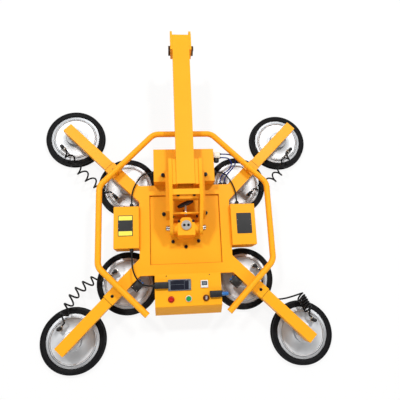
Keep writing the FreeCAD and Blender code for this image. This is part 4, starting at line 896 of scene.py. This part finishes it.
# Display and gauge: moulded cases screwed on the control box, with dark windows.
# Grey ABS round a smoked lens with two faint seams, and a white case with a smaller window.
WINDOW_DEEP = 0.002
DISPLAY_LOW = (-88, -284, BOX_TOP)
DISPLAY_HIGH = (12, -236, 207)
DISPLAY_WINDOW = ((-78, -281), (2, -239))
DISPLAY_ROUND = 0.0018
DISPLAY_PANE = ((-77.8, -280.8, 205), (1.8, -239.2, 206.2))
DISPLAY_PANE_ROUND = 0.0006
DISPLAY_SEAMS = (((-76, -258.4, 206.1), (-17, -257.6, 206.4)),
                 ((-17.4, -279, 206.1), (-16.6, -241, 206.4)))
SEAM_EDGE = 0.0001
DISPLAY_SCREW = (1.9, 1.2)
DISPLAY_SCREWS = [(x, y, 206.6) for x in (-83, 7) for y in (-279, -241)]
GAUGE_LOW = (55, -276, BOX_TOP)
GAUGE_HIGH = (87, -244, 208)
GAUGE_WINDOW = ((59, -266), (83, -248))
GAUGE_ROUND = 0.0016
GAUGE_PANE = ((59.2, -265.8, 205.8), (82.8, -248.2, 207))
GAUGE_PANE_ROUND = 0.0005
GAUGE_SCALE = ((62, -263, 206.8), (80, -251, 207.2))
grey_plastic = finish("display_case", (0.13, 0.15, 0.18), (0.19, 0.21, 0.24), scale=30, grain=1000,
                      low=0.35, high=0.5)
white_plastic = finish("white_plastic", (0.74, 0.74, 0.72), (0.62, 0.62, 0.6), scale=40, grain=1000,
                       bump=0.06)
smoked = finish("smoked_lens", (0.014, 0.015, 0.024), (0.024, 0.026, 0.04), scale=25, spread=0.6,
                grain=1500, low=0.1, high=0.2, bump=0.01, specular=0.12)


def windowed(low, high, window, rounding):
    """Case with rounded edges and a sunk window, placed in millimetres from the axis."""
    shape = slab(at(*low), at(*high), rounding)
    window_low, window_high = [at(*corner, 0) for corner in window]
    for axis, normal in enumerate((Vector((1, 0, 0)), Vector((0, 1, 0)))):
        for value in (window_low[axis], window_high[axis]):
            faces = [face for face in shape.faces if face.normal.z > SQUARE_SHARE]
            geom = faces + [edge for face in faces for edge in face.edges]
            geom += [vertex for face in faces for vertex in face.verts]
            bmesh.ops.bisect_plane(shape, geom=list(set(geom)), plane_co=normal * value,
                                   plane_no=normal)
    pane = [face for face in shape.faces if face.normal.z > SQUARE_SHARE
            and window_low[0] < face.calc_center_median().x < window_high[0]
            and window_low[1] < face.calc_center_median().y < window_high[1]]
    walls = bmesh.ops.extrude_face_region(shape, geom=pane)["geom"]
    bmesh.ops.translate(shape, verts=[part for part in walls if isinstance(part, bmesh.types.BMVert)],
                        vec=(0, 0, -WINDOW_DEEP))
    bmesh.ops.delete(shape, geom=pane, context="FACES_ONLY")
    return shape


def block(shape, corners, rounding, segments=3, index=0):
    """Adds a rounded block between two places, in millimetres from the axis."""
    low, high = corners
    stamp(shape, slab(at(*low), at(*high), rounding, segments), index=index)


shape = windowed(DISPLAY_LOW, DISPLAY_HIGH, DISPLAY_WINDOW, DISPLAY_ROUND)
block(shape, DISPLAY_PANE, DISPLAY_PANE_ROUND, 2, 1)
for corners in DISPLAY_SEAMS:
    block(shape, corners, SEAM_EDGE, 1, 2)
for place in DISPLAY_SCREWS:
    stamp(shape, socket_head(*DISPLAY_SCREW), Matrix.Translation(at(*place)), 3)
make("display_unit", shape, [grey_plastic, smoked, grey_plastic, black_oxide], "frame",
     "display_grey", "display")
shape = windowed(GAUGE_LOW, GAUGE_HIGH, GAUGE_WINDOW, GAUGE_ROUND)
block(shape, GAUGE_PANE, GAUGE_PANE_ROUND, 2, 1)
block(shape, GAUGE_SCALE, SEAM_EDGE, 1, 2)
make("gauge_unit", shape, [white_plastic, smoked, grey_plastic], "frame", "white_plastic", "gauge")


# Push buttons and selector: red, green and a brown two-way selector in a row, each in its bezel.
# Moulded caps with rounded rims, the buttons' sprung; the selector has a bar with white marks.
BUTTON_ROW = -320
CAP_SEAT = 203
BEZEL = [(11.1, 0), (14, 0), (14, 3.6), (13.2, 5.4), (12.2, 6), (11.4, 6), (11.1, 5.6), (11.1, 0)]
CONTACT_BLOCK = [(0, -11), (10, -11), (11, -10), (11, -3), (0, -3)]
BUTTON_CAP = [(0, -3.2), (7.4, -3.2), (7.4, 0), (10.5, 0), (10.5, 5.8), (9.6, 7.4), (8, 8), (6.6, 7.7),
              (5, 7.4), (0, 7.2)]
FINGER_BAR = ((72.5, -330, 209), (79.5, -310, 219))
FINGER_BAR_ROUND = 0.0016
BAR_MARKS = (((73, -327, 218.6), (74.8, -313, 219.2)), ((77.2, -327, 218.6), (79, -313, 219.2)))
BAR_MARK_ROUND = 0.0002
red_plastic = finish("red_plastic", (0.5, 0.009, 0.007), (0.38, 0.008, 0.007), low=0.24, high=0.36,
                     bump=0.04, specular=0.25)
green_plastic = finish("green_plastic", (0.01, 0.3, 0.07), (0.008, 0.22, 0.05), low=0.24, high=0.36,
                       bump=0.04, specular=0.25)
brown_plastic = finish("brown_plastic", (0.14, 0.035, 0.008), (0.1, 0.024, 0.006), low=0.28, high=0.42,
                       bump=0.05, specular=0.2)
BUTTONS = (("red", -76, red_plastic, red_plastic, "red_plastic", "red_button", "red_button"),
           ("green", 0, green_plastic, white_plastic, "green_plastic", "green_button", "green_button"),
           ("selector", 76, brown_plastic, brown_plastic, "brown_plastic", "selector", "selector_knob"))
for name, x, material, rim, slot, body, node in BUTTONS:
    shape = turned(BEZEL, 48)
    stamp(shape, turned(CONTACT_BLOCK, 32), index=1)
    shape.transform(Matrix.Translation(at(x, BUTTON_ROW, BOX_TOP)))
    make(name + "_bezel", shape, [rim, black_plastic], "frame", "white_plastic", "button_bezels")
    shape = turned(BUTTON_CAP, 48)
    shape.transform(Matrix.Translation(at(x, BUTTON_ROW, CAP_SEAT)))
    if name == "selector":
        block(shape, FINGER_BAR, FINGER_BAR_ROUND)
        for corners in BAR_MARKS:
            block(shape, corners, BAR_MARK_ROUND, 2, 1)
    make(name + "_cap", shape, [material, white_plastic], body, slot, node)


# Plugs: the battery's lead ends in a black plug on the panel, the air line's coupling is opposite.
# Moulded nylon housings with finger ribs and a stepped strain relief.
PANEL_HALF = 0.146
PLUG_ROUND = 0.0022
PLUG_RIBS = 5
RIB_FIRST = 0.008
RIB_PITCH = 0.005
RIB_HALF = 0.0012
RIB_INSET = 0.003
RIB_RISE = 0.0008
RIB_ROUND = 0.0005
RELIEF_STEPS = 4
RELIEF_SHARE = 0.86
RELIEF_FLAT_SHARE = 0.6
RELIEF_BREAK = 0.8
RELIEF_SUNK = 2
blue_plastic = finish("blue_coupling", (0.018, 0.15, 0.44), (0.014, 0.11, 0.35), low=0.25, high=0.38,
                      bump=0.05)
for name, side, radius, material in (("power_plug", -1, 6, black_plastic),
                                     ("air_plug", 1, 9, blue_plastic)):
    low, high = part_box(name)
    outer = PANEL_HALF * side
    inner = max(low.x, -PANEL_HALF) if side > 0 else min(high.x, PANEL_HALF)
    shape = slab((min(inner, outer), low.y, low.z), (max(inner, outer), high.y, high.z), PLUG_ROUND)
    for rib in range(PLUG_RIBS):
        x = outer - side * (RIB_FIRST + RIB_PITCH * rib)
        stamp(shape, slab((x - RIB_HALF, low.y + RIB_INSET, high.z - RIB_HALF),
                          (x + RIB_HALF, high.y - RIB_INSET, high.z + RIB_RISE), RIB_ROUND, 2))
    middle = (low + high) / 2
    length = (abs(low.x if side < 0 else high.x) - PANEL_HALF) * 1000
    profile = [(0, -RELIEF_SUNK), (radius, -RELIEF_SUNK)]
    for step in range(RELIEF_STEPS):
        near = length * step / RELIEF_STEPS
        far = length * (step + 1) / RELIEF_STEPS
        profile += [(radius, near), (radius, near + RELIEF_FLAT_SHARE * (far - near)),
                    (radius * RELIEF_SHARE, far - RELIEF_BREAK)]
    profile += [(radius * RELIEF_SHARE, length), (0, length)]
    stamp(shape, turned(profile, 36), facing((outer, middle.y, middle.z), (side, 0, 0)), 1)
    make(name + "_body", shape, [black_plastic, material], "frame", "black_plastic", name)


# Cable glands: where leads and lines enter the boxes and the frame.
# Black nylon, hexagon base screwed in the wall, fluted dome nut pulled down on a rubber seal.
CABLE_BORE = 3.5
AIR_BORE = 3
GLANDS = (((-250, 107, 143), (0, 1, 0), CABLE_BORE), ((-250, -88, 143), (0, -1, 0), CABLE_BORE),
          ((250, 107, 143), (0, 1, 0), CABLE_BORE), ((-143, 272, 143), (-1, 0, 0), CABLE_BORE),
          ((143, 272, 143), (1, 0, 0), CABLE_BORE), ((203, 212, 110), (0, 1, 0), AIR_BORE),
          ((181, 212, 110), (0, 1, 0), AIR_BORE))
GLAND_BASE = (10, 0, 5, 0.5)
GLAND_DOME = [(0, 5), (8.2, 5), (8.2, 6), (9.2, 6.4), (9.2, 11), (8.4, 13.4), (6.4, 15.4)]
SEAL_TOP = 16
SEAL_LIP = 0.6
SEAL_SEAT = 15.4
FLUTES = 9
FLUTE_LOW = (-0.0006, 0.0088, 0.0068)
FLUTE_HIGH = (0.0006, 0.0098, 0.0112)
FLUTE_ROUND = 0.0003


def ribs_round(shape, turn, count, low, high, index=0):
    """Adds ribs with broken edges, evenly spaced round an axis."""
    for rib in range(count):
        stamp(shape, slab(low, high, FLUTE_ROUND, 2),
              turn @ Matrix.Rotation(2 * math.pi * rib / count, 4, "Z"), index)


shape = bmesh.new()
for place, heading, bore in GLANDS:
    turn = facing(at(*place), heading)
    stamp(shape, hexagon(*GLAND_BASE), turn)
    seal = [(bore + SEAL_LIP, SEAL_TOP), (bore, SEAL_SEAT), (0, SEAL_SEAT)]
    stamp(shape, turned(GLAND_DOME + seal, 36), turn)
    ribs_round(shape, turn, FLUTES, FLUTE_LOW, FLUTE_HIGH)
make("gland_nuts", shape, [black_plastic], "frame", "black_plastic", "cable_glands")


# Vacuum filter: cream moulded head on the pump box with a black screw-on bowl.
# Two push-in collars feed the blue lines; the bowl has grip ribs and a drain plug.
FILTER_LOW = (143.2, 336, 145)
FILTER_HIGH = (179, 366, 175)
FILTER_ROUND = 0.003
FILTER_LID = ((149, 341, 174), (173, 361, 176))
FILTER_LID_ROUND = 0.001
FILTER_PORTS = ((179, 358, 163), (179, 344, 152))
FILTER_COLLAR = [(0, -1), (5.6, -1), (5.6, 3), (5, 4), (4.4, 5.5), (3.2, 5.5), (0, 5)]
BOWL_SEAT = (161, 336, 160)
BOWL = [(0, 0), (12.2, 0), (13, 1), (13, 5), (12.2, 6), (12.2, 15), (11.2, 18.6), (7, 20), (3.4, 20),
        (3.4, 22), (0, 22)]
BOWL_RIBS = 12
BOWL_RIB_LOW = (-0.0008, 0.0118, 0.007)
BOWL_RIB_HIGH = (0.0008, 0.0129, 0.0148)
cream = finish("cream_plastic", (0.72, 0.7, 0.62), (0.62, 0.6, 0.52), scale=40, low=0.35, high=0.5)
shape = slab(at(*FILTER_LOW), at(*FILTER_HIGH), FILTER_ROUND)
block(shape, FILTER_LID, FILTER_LID_ROUND, 2)
for port in FILTER_PORTS:
    stamp(shape, turned(FILTER_COLLAR, 28), facing(at(*port), (1, 0, 0)), 1)
turn = facing(at(*BOWL_SEAT), (0, -1, 0))
stamp(shape, turned(BOWL, 40), turn, 1)
ribs_round(shape, turn, BOWL_RIBS, BOWL_RIB_LOW, BOWL_RIB_HIGH, 1)
make("filter_unit", shape, [cream, black_plastic], "frame", "white_plastic", "vacuum_filter")


# Vacuum switches: black boxes on the sides of the two lower sleeves.
# Moulded cases with a screwed lid, a blank plate and two blue push-in collars for sensing lines.
CASE_ALONG = (0.289, 0.335)
CASE_ACROSS = (0.0282, 0.068)
CASE_UP = (0.088, 0.12)
CASE_ROUND = 0.002
LID_ALONG = (0.2905, 0.3335)
LID_INSET = 0.0015
LID_UP = (0.1195, 0.124)
LID_ROUND = 0.0016
LID_SCREW = (2.2, 1.4)
LID_SCREWS_ALONG = (0.2945, 0.3295)
LID_SCREW_INSET = 0.0055
LID_SCREW_UP = 0.1236
LID_PLATE_ALONG = (0.303, 0.321)
LID_PLATE_INSET = 0.012
LID_PLATE_UP = (0.1237, 0.1246)
LID_PLATE_ROUND = 0.0012
COLLAR = [(0, 0), (5.4, 0), (5.4, 3), (4.6, 3.4), (4.6, 6.4), (4, 7), (2.6, 7), (2.6, 5), (0, 5)]
COLLAR_INSET = 0.012
COLLAR_UP = 0.104


def case_block(along, across, up, inset, rounding, segments=3):
    """Block on an arm between pairs of places along, across and up it, drawn in at its sides."""
    return slab((along[0], across[0] + inset, up[0]), (along[1], across[1] - inset, up[1]), rounding,
                segments)


shape = bmesh.new()
for corner in ("lower_left", "lower_right"):
    turn = arm_turn(corner)
    near, far = sorted(-HOSE_SIDES[corner] * across for across in CASE_ACROSS)
    stamp(shape, case_block(CASE_ALONG, (near, far), CASE_UP, 0, CASE_ROUND), turn)
    stamp(shape, case_block(LID_ALONG, (near, far), LID_UP, LID_INSET, LID_ROUND), turn)
    for along in LID_SCREWS_ALONG:
        for across in (near + LID_SCREW_INSET, far - LID_SCREW_INSET):
            stamp(shape, socket_head(*LID_SCREW),
                  turn @ Matrix.Translation((along, across, LID_SCREW_UP)), 1)
    stamp(shape, case_block(LID_PLATE_ALONG, (near, far), LID_PLATE_UP, LID_PLATE_INSET, LID_PLATE_ROUND,
                            2), turn)
    for across in (near + COLLAR_INSET, far - COLLAR_INSET):
        stamp(shape, turned(COLLAR, 28),
              turn @ facing((CASE_ALONG[0], across, COLLAR_UP), (-1, 0, 0)), 2)
make("switch_cases", shape, [black_plastic, nickel, blue_plastic], "frame", "black_plastic",
     "vacuum_switches")
